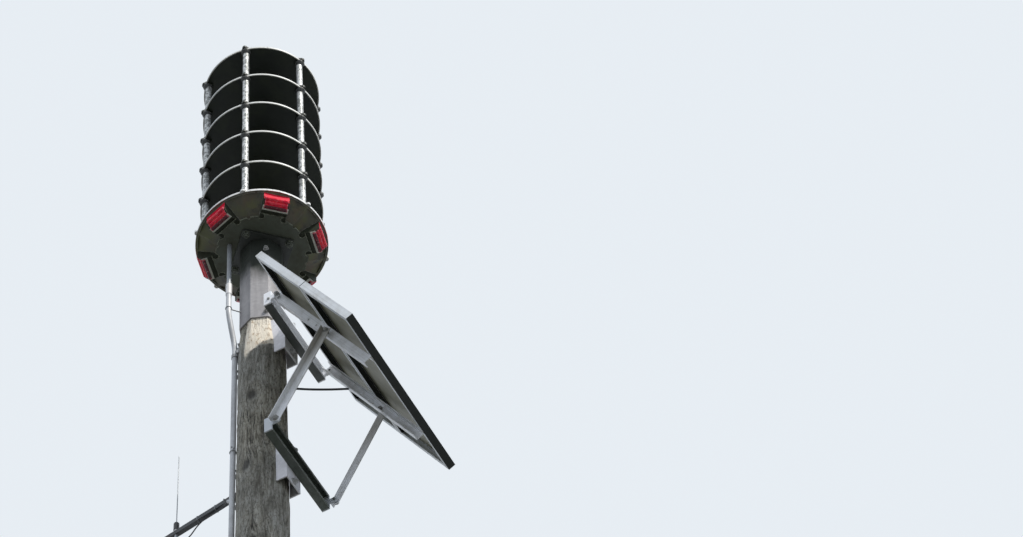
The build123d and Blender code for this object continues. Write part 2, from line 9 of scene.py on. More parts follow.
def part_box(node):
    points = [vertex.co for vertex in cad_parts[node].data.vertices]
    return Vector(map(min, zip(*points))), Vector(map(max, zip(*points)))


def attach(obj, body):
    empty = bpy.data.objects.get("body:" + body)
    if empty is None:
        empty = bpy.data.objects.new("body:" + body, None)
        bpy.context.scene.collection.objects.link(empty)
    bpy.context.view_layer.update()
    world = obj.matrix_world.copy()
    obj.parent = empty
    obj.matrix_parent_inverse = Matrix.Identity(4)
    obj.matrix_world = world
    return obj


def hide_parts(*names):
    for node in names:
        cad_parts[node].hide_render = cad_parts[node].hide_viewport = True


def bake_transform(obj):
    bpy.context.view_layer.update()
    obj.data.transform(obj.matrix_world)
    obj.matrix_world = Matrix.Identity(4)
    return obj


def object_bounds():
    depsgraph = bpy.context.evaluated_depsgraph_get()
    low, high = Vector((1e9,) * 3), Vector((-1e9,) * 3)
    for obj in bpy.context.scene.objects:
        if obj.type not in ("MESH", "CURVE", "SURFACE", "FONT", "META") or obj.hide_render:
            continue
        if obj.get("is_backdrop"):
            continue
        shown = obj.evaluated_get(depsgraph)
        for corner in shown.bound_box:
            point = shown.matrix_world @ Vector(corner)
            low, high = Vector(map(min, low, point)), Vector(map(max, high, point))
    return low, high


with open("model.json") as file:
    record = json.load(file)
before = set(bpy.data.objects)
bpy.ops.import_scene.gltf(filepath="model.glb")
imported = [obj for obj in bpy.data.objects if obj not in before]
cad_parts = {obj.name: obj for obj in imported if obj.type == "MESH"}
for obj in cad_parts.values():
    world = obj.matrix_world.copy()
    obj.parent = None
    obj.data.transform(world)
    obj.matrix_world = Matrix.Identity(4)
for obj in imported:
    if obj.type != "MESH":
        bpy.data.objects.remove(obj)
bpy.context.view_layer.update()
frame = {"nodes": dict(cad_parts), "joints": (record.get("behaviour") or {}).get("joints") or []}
scene = bpy.context.scene
nodes = frame["nodes"]


# Studio.
# A pale floor round the pole's foot and an even pale backdrop. One sun stands behind the viewer's
# right shoulder, and the sky fills the shadows from above more than from below.
scene.view_settings.view_transform = "Standard"
backdrop_colour = (0.80, 0.85, 0.90, 1)
sky_colour = (0.78, 0.86, 1.0, 1)
ground_colour = (0.07, 0.07, 0.06, 1)
sky_strength = 0.95
sun_azimuth = -22
sun_height = 47
sun_strength = 3.1
sun_spread = 3
floor_size = 240
floor_colour = (0.50, 0.51, 0.52, 1)
floor_bounce = (0.08, 0.08, 0.07, 1)


def put(tree, kind, settings=None, **sockets):
    """Place a shader node. A socket gets a value, or is linked to another node's socket."""
    node = tree.nodes.new("ShaderNode" + kind)
    for name, value in (settings or {}).items():
        setattr(node, name, value)
    for name, value in sockets.items():
        fill_socket(tree, node.inputs[name.replace("_", " ")], value)
    return node


def fill_socket(tree, socket, value):
    if isinstance(value, bpy.types.NodeSocket):
        tree.links.new(value, socket)
    else:
        socket.default_value = value


def calc(tree, operation, first, second=0.0, third=0.0):
    node = put(tree, "Math", {"operation": operation})
    for socket, value in zip(node.inputs, (first, second, third)):
        fill_socket(tree, socket, value)
    return node.outputs[0]


def tint(tree, share, first, second, mode="MIX"):
    node = put(tree, "Mix", {"data_type": "RGBA", "blend_type": mode})
    for socket, value in zip((node.inputs[0], node.inputs[6], node.inputs[7]), (share, first, second)):
        fill_socket(tree, socket, value)
    return node.outputs[2]


def colour_ramp(tree, share, *stops):
    """Colours at their positions from 0 to 1, smooth between them."""
    ramp = put(tree, "ValToRGB", Fac=share)
    ends = ramp.color_ramp.elements
    for end, (position, colour) in zip(ends, (stops[0], stops[-1])):
        end.position = position
        end.color = colour
    for position, colour in stops[1:-1]:
        ends.new(position).color = colour
    return ramp.outputs["Color"]


def finish_of(name, roughness=0.5, metallic=0.0):
    """A new material, its tree and its one shader."""
    material = bpy.data.materials.new(name)
    material.use_nodes = True
    shader = material.node_tree.nodes["Principled BSDF"]
    shader.inputs["Roughness"].default_value = roughness
    shader.inputs["Metallic"].default_value = metallic
    return material, material.node_tree, shader


world = bpy.data.worlds.new("studio")
scene.world = world
world.use_nodes = True
tree = world.node_tree
tree.nodes.clear()
height = put(tree, "SeparateXYZ", Vector=put(tree, "TexCoord").outputs["Generated"])
lift = put(tree, "MapRange", Value=height.outputs["Z"], From_Min=-1.0)
sky = colour_ramp(tree, lift.outputs["Result"], (0.35, ground_colour), (0.6, sky_colour))
light = put(tree, "Background", Color=sky, Strength=sky_strength)
seen = put(tree, "Background", Color=backdrop_colour)
path = put(tree, "LightPath").outputs
direct = calc(tree, "MAXIMUM", path["Is Camera Ray"], path["Is Glossy Ray"])
mix = put(tree, "MixShader", Fac=calc(tree, "MAXIMUM", direct, path["Is Transmission Ray"]))
tree.links.new(light.outputs[0], mix.inputs[1])
tree.links.new(seen.outputs[0], mix.inputs[2])
put(tree, "OutputWorld", Surface=mix.outputs[0])

bpy.ops.object.light_add(type="SUN", location=(6, -8, 20))
sun = bpy.context.object
sun.data.energy = sun_strength
sun.data.angle = math.radians(sun_spread)
sun.data.color = (1.0, 0.965, 0.91)
sun.rotation_euler = (math.radians(90 - sun_height), 0, math.radians(90 + sun_azimuth))

bpy.ops.mesh.primitive_grid_add(x_subdivisions=2, y_subdivisions=2, size=floor_size, location=(0, 0, -0.001))
floor = bpy.context.object
floor.name = "floor"
floor_material, tree, shader = finish_of("pale floor", 0.9)
diffuse = put(tree, "LightPath").outputs["Is Diffuse Ray"]
tree.links.new(tint(tree, diffuse, floor_colour, floor_bounce), shader.inputs["Base Color"])
floor.data.materials.append(floor_material)
floor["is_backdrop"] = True


# Camera.
# It stands at eye height 8 m from the pole and looks up at the head through a long lens. The roll is
# the photograph's own: it was taken with the horizon sloping.
camera_place = (3.835, -6.670, 1.568)
camera_heading = 20.57
camera_pitch = 56.11
camera_roll = -7.92
camera_lens = 96.73
bpy.ops.object.camera_add(location=camera_place)
camera = bpy.context.object
turn = Matrix.Rotation(math.radians(camera_heading), 3, "Z")
tilt = Matrix.Rotation(math.radians(90 + camera_pitch), 3, "X")
roll = Matrix.Rotation(math.radians(camera_roll), 3, "Z")
camera.rotation_euler = (turn @ tilt @ roll).to_euler()
camera.data.lens = camera_lens
camera.data.sensor_width = 36
camera.data.clip_end = 200
scene.camera = camera


# Pole.
# One tall softwood pole, weathered to a grey brown. Its grain runs up it, parts round the knots and
# has opened in long narrow checks. Below the sleeve it was shaved, and there the wood is still pale.
wood_dark = (0.100, 0.092, 0.072, 1)
wood_middle = (0.280, 0.270, 0.230, 1)
wood_pale = (0.44, 0.43, 0.385, 1)
fresh_wood = (0.86, 0.78, 0.64, 1)
fresh_speck = (0.44, 0.32, 0.19, 1)
knots = [
    (0.010, -0.118, 11.964, 0.055),
    (-0.020, -0.119, 11.442, 0.060),
    (0.118, -0.046, 11.640, 0.035),
    (0.020, -0.122, 10.890, 0.040),
    (0.094, -0.083, 10.600, 0.050),
    (-0.112, 0.050, 11.750, 0.050),
    (0.040, 0.118, 10.900, 0.055),
    (-0.100, -0.090, 9.200, 0.055),
    (0.060, -0.130, 7.700, 0.050),
    (0.110, 0.100, 6.300, 0.060),
    (-0.080, 0.135, 4.600, 0.055),
    (0.020, -0.158, 3.100, 0.060),
]


def step_up(tree, value, low, high):
    node = tree.nodes.new("ShaderNodeMapRange")
    node.interpolation_type = "SMOOTHSTEP"
    for socket, setting in zip(node.inputs, (value, low, high)):
        fill_socket(tree, socket, setting)
    return node.outputs[0]


def vector_calc(tree, operation, first, second=(0, 0, 0)):
    """Work on one or two vectors. It gives a vector and a value."""
    node = put(tree, "VectorMath", {"operation": operation}, Vector=first)
    fill_socket(tree, node.inputs[1], second)
    return node.outputs


def noise(tree, place, scale, stretch=(1, 1, 1), detail=4, roughness=0.55, distortion=0.0):
    shift = put(tree, "Mapping", Vector=place, Scale=stretch)
    node = put(tree, "TexNoise", Vector=shift.outputs[0], Scale=scale, Detail=detail, Roughness=roughness)
    node.inputs["Distortion"].default_value = distortion
    return node.outputs["Fac"]


def object_place(tree):
    return tree.nodes.new("ShaderNodeTexCoord").outputs["Object"]


def split_place(tree):
    return put(tree, "SeparateXYZ", Vector=object_place(tree)).outputs


def group_of(name, takes, gives):
    """An empty shader node group with its named sockets."""
    group = bpy.data.node_groups.new(name, "ShaderNodeTree")
    for label, kind, value in takes:
        socket = group.interface.new_socket(label, in_out="INPUT", socket_type="NodeSocket" + kind)
        if value is not None:
            socket.default_value = value
    for label, kind in gives:
        group.interface.new_socket(label, in_out="OUTPUT", socket_type="NodeSocket" + kind)
    return group, group.nodes.new("NodeGroupInput").outputs, group.nodes.new("NodeGroupOutput").inputs


def place_group(tree, group, **sockets):
    node = tree.nodes.new("ShaderNodeGroup")
    node.node_tree = group
    for name, value in sockets.items():
        fill_socket(tree, node.inputs[name.replace("_", " ")], value)
    return node.outputs


def bump_up(tree, shader, height, strength, distance):
    node = put(tree, "Bump", Height=height, Strength=strength, Distance=distance)
    tree.links.new(node.outputs[0], shader.inputs["Normal"])


knot_group, takes, gives = group_of(
    "knot in the grain",
    [("Place", "Vector", None), ("Knot", "Vector", None), ("Radius", "Float", 0.05), ("Heart", "Float", 0.0)],
    [("Place", "Vector"), ("Heart", "Float")],
)
away = vector_calc(knot_group, "SUBTRACT", takes["Place"], takes["Knot"])["Vector"]
narrow = vector_calc(knot_group, "MULTIPLY", away, (1, 1, 0.6))["Vector"]
distance = vector_calc(knot_group, "LENGTH", narrow)["Value"]
ratio = calc(knot_group, "DIVIDE", distance, takes["Radius"])
pull = calc(knot_group, "EXPONENT", calc(knot_group, "MULTIPLY", calc(knot_group, "POWER", ratio, 2), -1))
pull = calc(knot_group, "MULTIPLY", pull, -0.85)
push = put(knot_group, "VectorMath", {"operation": "SCALE"}, Vector=away, Scale=pull)
moved = vector_calc(knot_group, "ADD", takes["Place"], push.outputs[0])["Vector"]
knot_group.links.new(moved, gives["Place"])
heart = step_up(knot_group, ratio, 0.62, 0.2)
knot_group.links.new(calc(knot_group, "MAXIMUM", heart, takes["Heart"]), gives["Heart"])

wood, tree, shader = finish_of("weathered pole wood", 0.86)
place = object_place(tree)
grain_place = place
hearts = 0.0
for x, y, z, radius in knots:
    knot = place_group(
        tree, knot_group, Place=grain_place, Knot=(x, y, z), Radius=radius, Heart=hearts,
    )
    grain_place = knot["Place"]
    hearts = knot["Heart"]
grain = noise(tree, grain_place, 70, (1, 1, 0.14), 6, 0.68, 0.6)
bands = noise(tree, grain_place, 28, (1, 1, 0.16), 4, 0.6, 1.2)
patches = noise(tree, place, 5, (1, 1, 0.5), 4, 0.6)
fleck = noise(tree, place, 150, (1, 1, 0.35), 4, 0.75)
crack_noise = noise(tree, grain_place, 30, (1, 1, 0.045), 4, 0.6, 0.5)
crack = calc(tree, "ABSOLUTE", calc(tree, "SUBTRACT", crack_noise, 0.5))
check_mask = step_up(tree, crack, 0.012, 0.002)
check_mask = calc(tree, "MULTIPLY", check_mask, step_up(tree, patches, 0.42, 0.58))
tone = calc(tree, "ADD", calc(tree, "MULTIPLY", grain, 0.6), calc(tree, "MULTIPLY", bands, 0.4))
fibre = colour_ramp(tree, tone, (0.39, wood_dark), (0.5, wood_middle), (0.60, wood_pale))
dark_fleck = calc(tree, "MULTIPLY", step_up(tree, fleck, 0.50, 0.60), 0.75)
colour = tint(tree, dark_fleck, fibre, wood_dark)
bleached = tint(tree, 1.0, colour, (1.35, 1.3, 1.2, 1), "MULTIPLY")
colour = tint(tree, step_up(tree, patches, 0.35, 0.7), colour, bleached)
colour = tint(tree, calc(tree, "MULTIPLY", hearts, 0.85), colour, (0.018, 0.016, 0.013, 1))
colour = tint(tree, calc(tree, "MULTIPLY", check_mask, 0.9), colour, (0.012, 0.011, 0.010, 1))
split = split_place(tree)
side = calc(tree, "ARCTAN2", split["Y"], split["X"])
shaved_left = math.radians(-108)
shaved_foot = 12.30
shaved_rise = 0.055
wavy = calc(tree, "MULTIPLY", calc(tree, "SUBTRACT", noise(tree, place, 30), 0.5), 0.05)
edge = calc(tree, "MULTIPLY_ADD", calc(tree, "SUBTRACT", side, shaved_left), shaved_rise, shaved_foot)
edge = calc(tree, "ADD", edge, wavy)
fresh = step_up(tree, calc(tree, "SUBTRACT", split["Z"], edge), -0.006, 0.012)
fresh = calc(tree, "MULTIPLY", fresh, step_up(tree, side, shaved_left - 0.03, shaved_left + 0.03))
fresh = calc(tree, "MULTIPLY", fresh, step_up(tree, side, 0.35, 0.1))
speckle = step_up(tree, noise(tree, place, 70, (1, 1, 0.45), 5, 0.7), 0.52, 0.66)
fresh_colour = tint(tree, speckle, fresh_wood, fresh_speck)
colour = tint(tree, fresh, colour, fresh_colour)
tree.links.new(colour, shader.inputs["Base Color"])
relief = calc(tree, "ADD", tone, calc(tree, "MULTIPLY", fleck, -0.5))
relief = calc(tree, "SUBTRACT", relief, calc(tree, "MULTIPLY", check_mask, 1.2))
relief = calc(tree, "SUBTRACT", relief, calc(tree, "MULTIPLY", hearts, 0.6))
bump_up(tree, shader, relief, 1.0, 0.012)

rim_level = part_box("base_pan")[1].z
pole_sides = 112
pole_rows = 23
grain_squash = 0.12
pole_foot_radius = 0.168
pole_head_radius = 0.112
shaving_start = 12.352
flats_overlap = 0.06
plain_foot = 0.05
pole_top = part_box("pole")[1].z


def pole_face(height):
    """The pole's radius at a height."""
    return pole_foot_radius - (pole_foot_radius - pole_head_radius) * height / rim_level


def cut_in(piece, name, texture, strength, middle):
    """Press a texture's relief into a piece, less deep where the pole was shaved."""
    relief = piece.modifiers.new(name, "DISPLACE")
    relief.texture = texture
    relief.texture_coords = "LOCAL"
    relief.strength = strength
    relief.mid_level = middle
    relief.vertex_group = "rough wood"
    bpy.ops.object.modifier_apply(modifier=name)


bpy.ops.object.select_all(action="DESELECT")
bpy.ops.mesh.primitive_cone_add(
    vertices=pole_sides, radius1=pole_foot_radius, radius2=pole_face(pole_top), depth=pole_top,
    location=(0, 0, pole_top / 2),
)
timber = bpy.context.object
timber.name = "pole_timber"
bpy.ops.object.transform_apply(location=True, rotation=True, scale=True)
for cut in range(2):
    bpy.ops.object.mode_set(mode="EDIT")
    bpy.ops.mesh.select_mode(type="EDGE")
    bpy.ops.mesh.select_all(action="DESELECT")
    bpy.ops.object.mode_set(mode="OBJECT")
    corners = timber.data.vertices
    for edge in timber.data.edges:
        low_end, high_end = (corners[index].co.z for index in edge.vertices)
        edge.select = abs(high_end - low_end) > 0.001
    bpy.ops.object.mode_set(mode="EDIT")
    bpy.ops.mesh.subdivide(number_cuts=pole_rows - 1)
    bpy.ops.object.mode_set(mode="OBJECT")
shaved_part = timber.vertex_groups.new(name="shaved part")
rough_wood = timber.vertex_groups.new(name="rough wood")
for vertex in timber.data.vertices:
    if vertex.co.z > shaving_start - flats_overlap:
        shaved_part.add([vertex.index], 1.0, "REPLACE")
    if plain_foot < vertex.co.z < pole_top - 0.001:
        rough_wood.add([vertex.index], 0.2 if vertex.co.z > shaving_start else 1.0, "REPLACE")
flats = timber.modifiers.new("shaved flats", "SHRINKWRAP")
flats.target = nodes["pole"]
flats.vertex_group = "shaved part"
bpy.ops.object.modifier_apply(modifier="shaved flats")

ridges = bpy.data.textures.new("grain ridges", "CLOUDS")
ridges.noise_scale = 0.016
ridges.noise_depth = 4
checks = bpy.data.textures.new("long checks", "CLOUDS")
checks.noise_scale = 0.05
checks.noise_depth = 2
checks.use_color_ramp = True
checks.color_ramp.elements[0].position = 0.47
checks.color_ramp.elements[0].color = (0, 0, 0, 1)
checks.color_ramp.elements[1].position = 0.53
checks.color_ramp.elements[1].color = (0, 0, 0, 1)
checks.color_ramp.elements.new(0.5).color = (1, 1, 1, 1)
bpy.ops.transform.resize(value=(1, 1, grain_squash))
bpy.ops.object.transform_apply(location=False, rotation=False, scale=True)
cut_in(timber, "ridges", ridges, 0.009, 0.62)
cut_in(timber, "checks", checks, -0.007, 0.0)
bpy.ops.transform.resize(value=(1, 1, 1 / grain_squash))
bpy.ops.object.transform_apply(location=False, rotation=False, scale=True)
bpy.ops.object.shade_smooth()
timber.data.materials.append(wood)
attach(timber, "root")
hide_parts("pole")


# Sleeve, straps and saddles.
# The octagonal sleeve and the bent saddles are hot dipped galvanized sheet, gone dull. The zinc shows
# its crystals, a few darker runs and bright rubbed edges. The sleeve's top is painted near black as the pan's
# shade.
sleeve_top_shade_colour = (0.016, 0.021, 0.015, 1)
sleeve_top_shade_foot = rim_level - 0.38
sleeve_top_shade_top = rim_level - 0.16


def face_normal(tree):
    return put(tree, "NewGeometry").outputs["Normal"]


def lay_over(material, mask, colour):
    """Lay a colour over a finished material where a mask is 1."""
    tree = material.node_tree
    base = tree.nodes["Principled BSDF"].inputs["Base Color"]
    tree.links.new(tint(tree, mask, base.links[0].from_socket, colour), base)


def dress(material, *names):
    for name in names:
        nodes[name].data.materials.clear()
        nodes[name].data.materials.append(material)


stain_group, takes, gives = group_of(
    "stains and runs",
    [
        ("Colour", "Color", (0.5, 0.5, 0.5, 1)), ("Stain", "Color", (0.1, 0.1, 0.1, 1)),
        ("Amount", "Float", 0.5), ("Scale", "Float", 6.0), ("Runs", "Float", 0.5),
    ],
    [("Colour", "Color"), ("Mask", "Float")],
)
place = object_place(stain_group)
patch = put(stain_group, "TexNoise", Vector=place, Scale=takes["Scale"], Detail=5.0, Roughness=0.62)
runs_place = put(stain_group, "Mapping", Vector=place, Scale=(5, 5, 0.5))
runs = put(stain_group, "TexNoise", Vector=runs_place.outputs[0], Scale=takes["Scale"], Detail=4.0)
both = tint(stain_group, takes["Runs"], patch.outputs["Fac"], runs.outputs["Fac"])
mask = calc(stain_group, "MULTIPLY", step_up(stain_group, both, 0.42, 0.68), takes["Amount"])
stain_group.links.new(tint(stain_group, mask, takes["Colour"], takes["Stain"]), gives["Colour"])
stain_group.links.new(mask, gives["Mask"])

wear_group, takes, gives = group_of(
    "rubbed edges", [("Width", "Float", 0.003), ("Break Up", "Float", 40.0)], [("Mask", "Float")],
)
rounded = put(wear_group, "Bevel", {"samples": 4}, Radius=takes["Width"]).outputs[0]
parting = vector_calc(wear_group, "DOT_PRODUCT", rounded, face_normal(wear_group))["Value"]
turned = calc(wear_group, "SUBTRACT", 1.0, parting)
broken = put(wear_group, "TexNoise", Vector=object_place(wear_group), Scale=takes["Break Up"], Detail=3.0)
patchy = step_up(wear_group, broken.outputs["Fac"], 0.35, 0.55)
worn = calc(wear_group, "MULTIPLY", step_up(wear_group, turned, 0.01, 0.12), patchy)
wear_group.links.new(worn, gives["Mask"])

spangle_group, takes, gives = group_of(
    "zinc crystals",
    [("Colour", "Color", (0.5, 0.5, 0.5, 1)), ("Scale", "Float", 60.0), ("Contrast", "Float", 0.3)],
    [("Colour", "Color"), ("Shade", "Float")],
)
cells = put(spangle_group, "TexVoronoi", Vector=object_place(spangle_group), Scale=takes["Scale"])
shade = put(spangle_group, "SeparateColor", Color=cells.outputs["Color"])
darker = calc(spangle_group, "MULTIPLY", shade.outputs["Red"], takes["Contrast"])
spangle_group.links.new(tint(spangle_group, darker, takes["Colour"], (0.12, 0.125, 0.13, 1)), gives["Colour"])
spangle_group.links.new(shade.outputs["Green"], gives["Shade"])


def zinc_finish(name, colour, stain, amount, contrast=0.28, metallic=0.25, runs=0.4):
    """Galvanized steel with its crystals, patchy stains and rubbed edges."""
    material, tree, shader = finish_of(name, 0.5, metallic)
    crystals = place_group(tree, spangle_group, Colour=colour, Scale=70.0, Contrast=contrast)
    stained = place_group(
        tree, stain_group, Colour=crystals["Colour"], Stain=stain, Amount=amount, Scale=7.0, Runs=runs,
    )
    edges = place_group(tree, wear_group, Width=0.003, Break_Up=50.0)
    rubbed = tint(tree, calc(tree, "MULTIPLY", edges["Mask"], 0.5), stained["Colour"], (0.72, 0.73, 0.74, 1))
    tree.links.new(rubbed, shader.inputs["Base Color"])
    sheen = calc(tree, "MULTIPLY_ADD", crystals["Shade"], 0.15, 0.38)
    dull = calc(tree, "MULTIPLY_ADD", stained["Mask"], 0.3, sheen)
    tree.links.new(dull, shader.inputs["Roughness"])
    bump_up(tree, shader, noise(tree, object_place(tree), 90), 0.15, 0.001)
    return material


sleeve_zinc = zinc_finish(
    "dull sleeve zinc", (0.40, 0.385, 0.385, 1), (0.22, 0.21, 0.21, 1), 0.6,
    contrast=0.2, metallic=0.1, runs=0.6,
)
tree = sleeve_zinc.node_tree
# Painted shade: towards its top, under the pan, the sleeve is painted near black.
uneven = calc(tree, "MULTIPLY", noise(tree, object_place(tree), 14, (1, 1, 0.3), 4), 0.3)
level = calc(tree, "ADD", split_place(tree)["Z"], uneven)
painted_sleeve_shade = calc(tree, "MULTIPLY", step_up(tree, level, sleeve_top_shade_foot, sleeve_top_shade_top), 0.97)
lay_over(sleeve_zinc, painted_sleeve_shade, sleeve_top_shade_colour)
tree.nodes["Principled BSDF"].inputs["Specular IOR Level"].default_value = 0.25
saddle_zinc = zinc_finish(
    "pale saddle zinc", (0.86, 0.85, 0.88, 1), (0.50, 0.50, 0.50, 1), 0.35, contrast=0.15, metallic=0.1,
)
strap_zinc = zinc_finish("strap zinc", (0.34, 0.35, 0.36, 1), (0.14, 0.12, 0.10, 1), 0.6)
dress(sleeve_zinc, "pole_sleeve")
dress(saddle_zinc, "standoff_upper", "standoff_lower")
dress(strap_zinc, "conduit_straps")


# Base of the head.
# The flange, the notched hub plate and the dish are welded steel in a dark olive paint. It has gone
# chalky, with patches of rust, moss and soot, and its bare edges are pale; on the hub plate the pale
# edges are also a painted highlight.
def paint_finish(
    name, colour, stain, amount, gloss, edge=(0.5, 0.5, 0.5, 1), wear=0.6, grain=0.2, width=0.003,
):
    """Paint with patchy stains, whose edges are rubbed through to a paler colour."""
    material, tree, shader = finish_of(name, gloss)
    stained = place_group(
        tree, stain_group, Colour=colour, Stain=stain, Amount=amount, Scale=9.0, Runs=0.3,
    )
    edges = place_group(tree, wear_group, Width=width, Break_Up=60.0)
    rubbed = tint(tree, calc(tree, "MULTIPLY", edges["Mask"], wear), stained["Colour"], edge)
    tree.links.new(rubbed, shader.inputs["Base Color"])
    rough = calc(tree, "MULTIPLY_ADD", stained["Mask"], 0.25, gloss)
    tree.links.new(rough, shader.inputs["Roughness"])
    bump_up(tree, shader, noise(tree, object_place(tree), 260), grain, 0.0006)
    return material


def flat_place(tree):
    """The place on the ground under a place. Its length is the distance from the pole's axis."""
    return vector_calc(tree, "MULTIPLY", object_place(tree), (1, 1, 0))["Vector"]


def reach_of(tree):
    return vector_calc(tree, "LENGTH", flat_place(tree))["Value"]


pan_rim = 0.3375
pan_olive = (0.074, 0.074, 0.050, 1)
pan_rust = (0.110, 0.070, 0.034, 1)
pan_moss = (0.110, 0.120, 0.035, 1)
pan_soot = (0.014, 0.016, 0.012, 1)
pan_chalk = (0.80, 0.80, 0.78, 1)
# Painted highlight: the hub's wide, full strength pale edges are partly rubbed paint and partly the light on
# its scalloped edges.
hub_paint = paint_finish(
    "chalky olive hub paint with painted edge highlights", (0.060, 0.069, 0.046, 1), (0.040, 0.036, 0.018, 1), 0.6, 0.6,
    edge=(0.36, 0.38, 0.29, 1), wear=1.0, width=0.007,
)
pan_paint, tree, shader = finish_of("chalky olive pan paint", 0.6)
place = object_place(tree)
reach = reach_of(tree)
stained = place_group(
    tree, stain_group, Colour=pan_olive, Stain=pan_rust, Amount=0.8, Scale=7.0, Runs=0.2,
)
mossy = step_up(tree, noise(tree, place, 6, (1, 1, 1), 4, 0.6), 0.5, 0.68)
colour = tint(tree, calc(tree, "MULTIPLY", mossy, 0.65), stained["Colour"], pan_moss)
sooty = step_up(tree, noise(tree, place, 11, (1, 1, 1), 5, 0.65), 0.52, 0.66)
colour = tint(tree, calc(tree, "MULTIPLY", sooty, 0.7), colour, pan_soot)
edges = place_group(tree, wear_group, Width=0.004, Break_Up=60.0)
colour = tint(tree, calc(tree, "MULTIPLY", edges["Mask"], 0.55), colour, (0.50, 0.51, 0.48, 1))
chalk = step_up(tree, noise(tree, place, 60, (1, 1, 1), 5, 0.7), 0.72, 0.5)
rim = calc(tree, "MULTIPLY", step_up(tree, reach, pan_rim - 0.001, pan_rim), chalk)
tree.links.new(tint(tree, rim, colour, pan_chalk), shader.inputs["Base Color"])
bump_up(tree, shader, noise(tree, place, 240), 0.2, 0.0006)
flange_paint = paint_finish(
    "dark flange paint", (0.016, 0.019, 0.014, 1), (0.008, 0.009, 0.007, 1), 0.6, 0.5, (0.16, 0.17, 0.15, 1),
)
dress(hub_paint, "base_hub")
dress(pan_paint, "base_pan")
dress(flange_paint, "head_flange")


# Horn discs and cores.
# Five spun dishes in a near black paint, whose upright rims have chalked to a pale grey. A driver
# housing of cast aluminium, painted black, stands between each dish and the next.
rim_inside = 0.3125
rim_outside = 0.3205
rim_colour = (0.78, 0.78, 0.74, 1)
rim_dirt = (0.34, 0.35, 0.32, 1)
horn_black = (0.007, 0.010, 0.006, 1)
horn_paint, tree, shader = finish_of("black horn paint with chalked rims", 0.5)
place = object_place(tree)
reach = reach_of(tree)
rim = step_up(tree, reach, rim_inside, rim_inside + 0.002)
rim = calc(tree, "MULTIPLY", rim, step_up(tree, reach, rim_outside, rim_outside - 0.001))
chalk = noise(tree, place, 45, (1, 1, 1), 5, 0.7)
stained = place_group(
    tree, stain_group, Colour=horn_black, Stain=(0.020, 0.026, 0.014, 1), Amount=0.8, Scale=8.0, Runs=0.0,
)
pale = tint(tree, step_up(tree, chalk, 0.55, 0.75), rim_colour, rim_dirt)
tree.links.new(tint(tree, rim, stained["Colour"], pale), shader.inputs["Base Color"])
bump_up(tree, shader, noise(tree, place, 220), 0.15, 0.0006)
dress(horn_paint, *[f"horn_disc_{level}" for level in range(1, 6)])
core_paint = paint_finish(
    "black core paint", (0.014, 0.016, 0.013, 1), (0.03, 0.032, 0.026, 1), 0.5, 0.5, wear=0.2,
)
dress(core_paint, *[f"horn_core_{level}" for level in range(1, 6)])


# Posts.
# Six threaded rods with spacer tubes of plain steel, whose zinc has worn off in patches, so that
# bright and dark blotches alternate down each tube.
post_steel, tree, shader = finish_of("blotched post steel", 0.42, 0.3)
place = object_place(tree)
blotch = step_up(tree, noise(tree, place, 55, (1, 1, 0.8), 3, 0.6), 0.44, 0.58)
fine = noise(tree, place, 200, (1, 1, 1), 4)
colour = tint(tree, blotch, (0.74, 0.75, 0.74, 1), (0.20, 0.21, 0.20, 1))
colour = tint(tree, calc(tree, "MULTIPLY", fine, 0.35), colour, (0.30, 0.30, 0.28, 1))
tree.links.new(colour, shader.inputs["Base Color"])
bump_up(tree, shader, blotch, 0.3, 0.0008)
dress(post_steel, *[f"post_{number}" for number in range(1, 7)])


# Lamps.
# Six beacon lenses of ribbed red polycarbonate, glossy and faintly see-through, that wrap over the outer
# face of their wedge brackets. The brackets are sheet steel in the pan's olive, with a pale shelf edge.
lens_half = 0.0560
lens_foot_top = rim_level - 0.094
lens_foot_bottom = rim_level - 0.102
lens_deep = (0.80, 0.004, 0.045, 1)
lens_bright = (1.0, 0.030, 0.060, 1)
lens_dirt = (0.20, 0.006, 0.020, 1)
lens_shadow = (0.030, 0.004, 0.008, 1)
lens_end_highlight = (0.80, 0.20, 0.24, 1)
lens_glint = (1.0, 0.32, 0.36, 1)
lens_skirt = (0.80, 0.012, 0.045, 1)
shelf_edge_height = 0.004
shelf_edge_colour = (0.74, 0.74, 0.66, 1)
lamp_middle = (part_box("lamp_1")[0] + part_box("lamp_1")[1]) / 2
lamp_turn = math.atan2(lamp_middle.x, -lamp_middle.y) - math.pi / 6

red_lens, tree, shader = finish_of("red ribbed lens", 0.16)
place = object_place(tree)
deep = noise(tree, place, 28, (1, 1, 1), 3)
dirt = step_up(tree, noise(tree, place, 60, (1, 1, 0.4), 5, 0.7), 0.5, 0.72)
colour = tint(tree, step_up(tree, deep, 0.4, 0.6), lens_deep, lens_bright)
colour = tint(tree, calc(tree, "MULTIPLY", dirt, 0.35), colour, lens_dirt)
split = split_place(tree)
foot = step_up(tree, split["Z"], lens_foot_top, lens_foot_bottom)
colour = tint(tree, calc(tree, "MULTIPLY", foot, 0.9), colour, lens_shadow)
side = calc(tree, "ARCTAN2", split["X"], calc(tree, "MULTIPLY", split["Y"], -1))
sector = calc(tree, "FRACT", calc(tree, "DIVIDE", calc(tree, "SUBTRACT", side, lamp_turn), math.pi / 3))
off_centre = calc(tree, "MULTIPLY", calc(tree, "SUBTRACT", sector, 0.5), math.pi / 3)
reach = calc(tree, "MULTIPLY", reach_of(tree), calc(tree, "SINE", calc(tree, "ABSOLUTE", off_centre)))
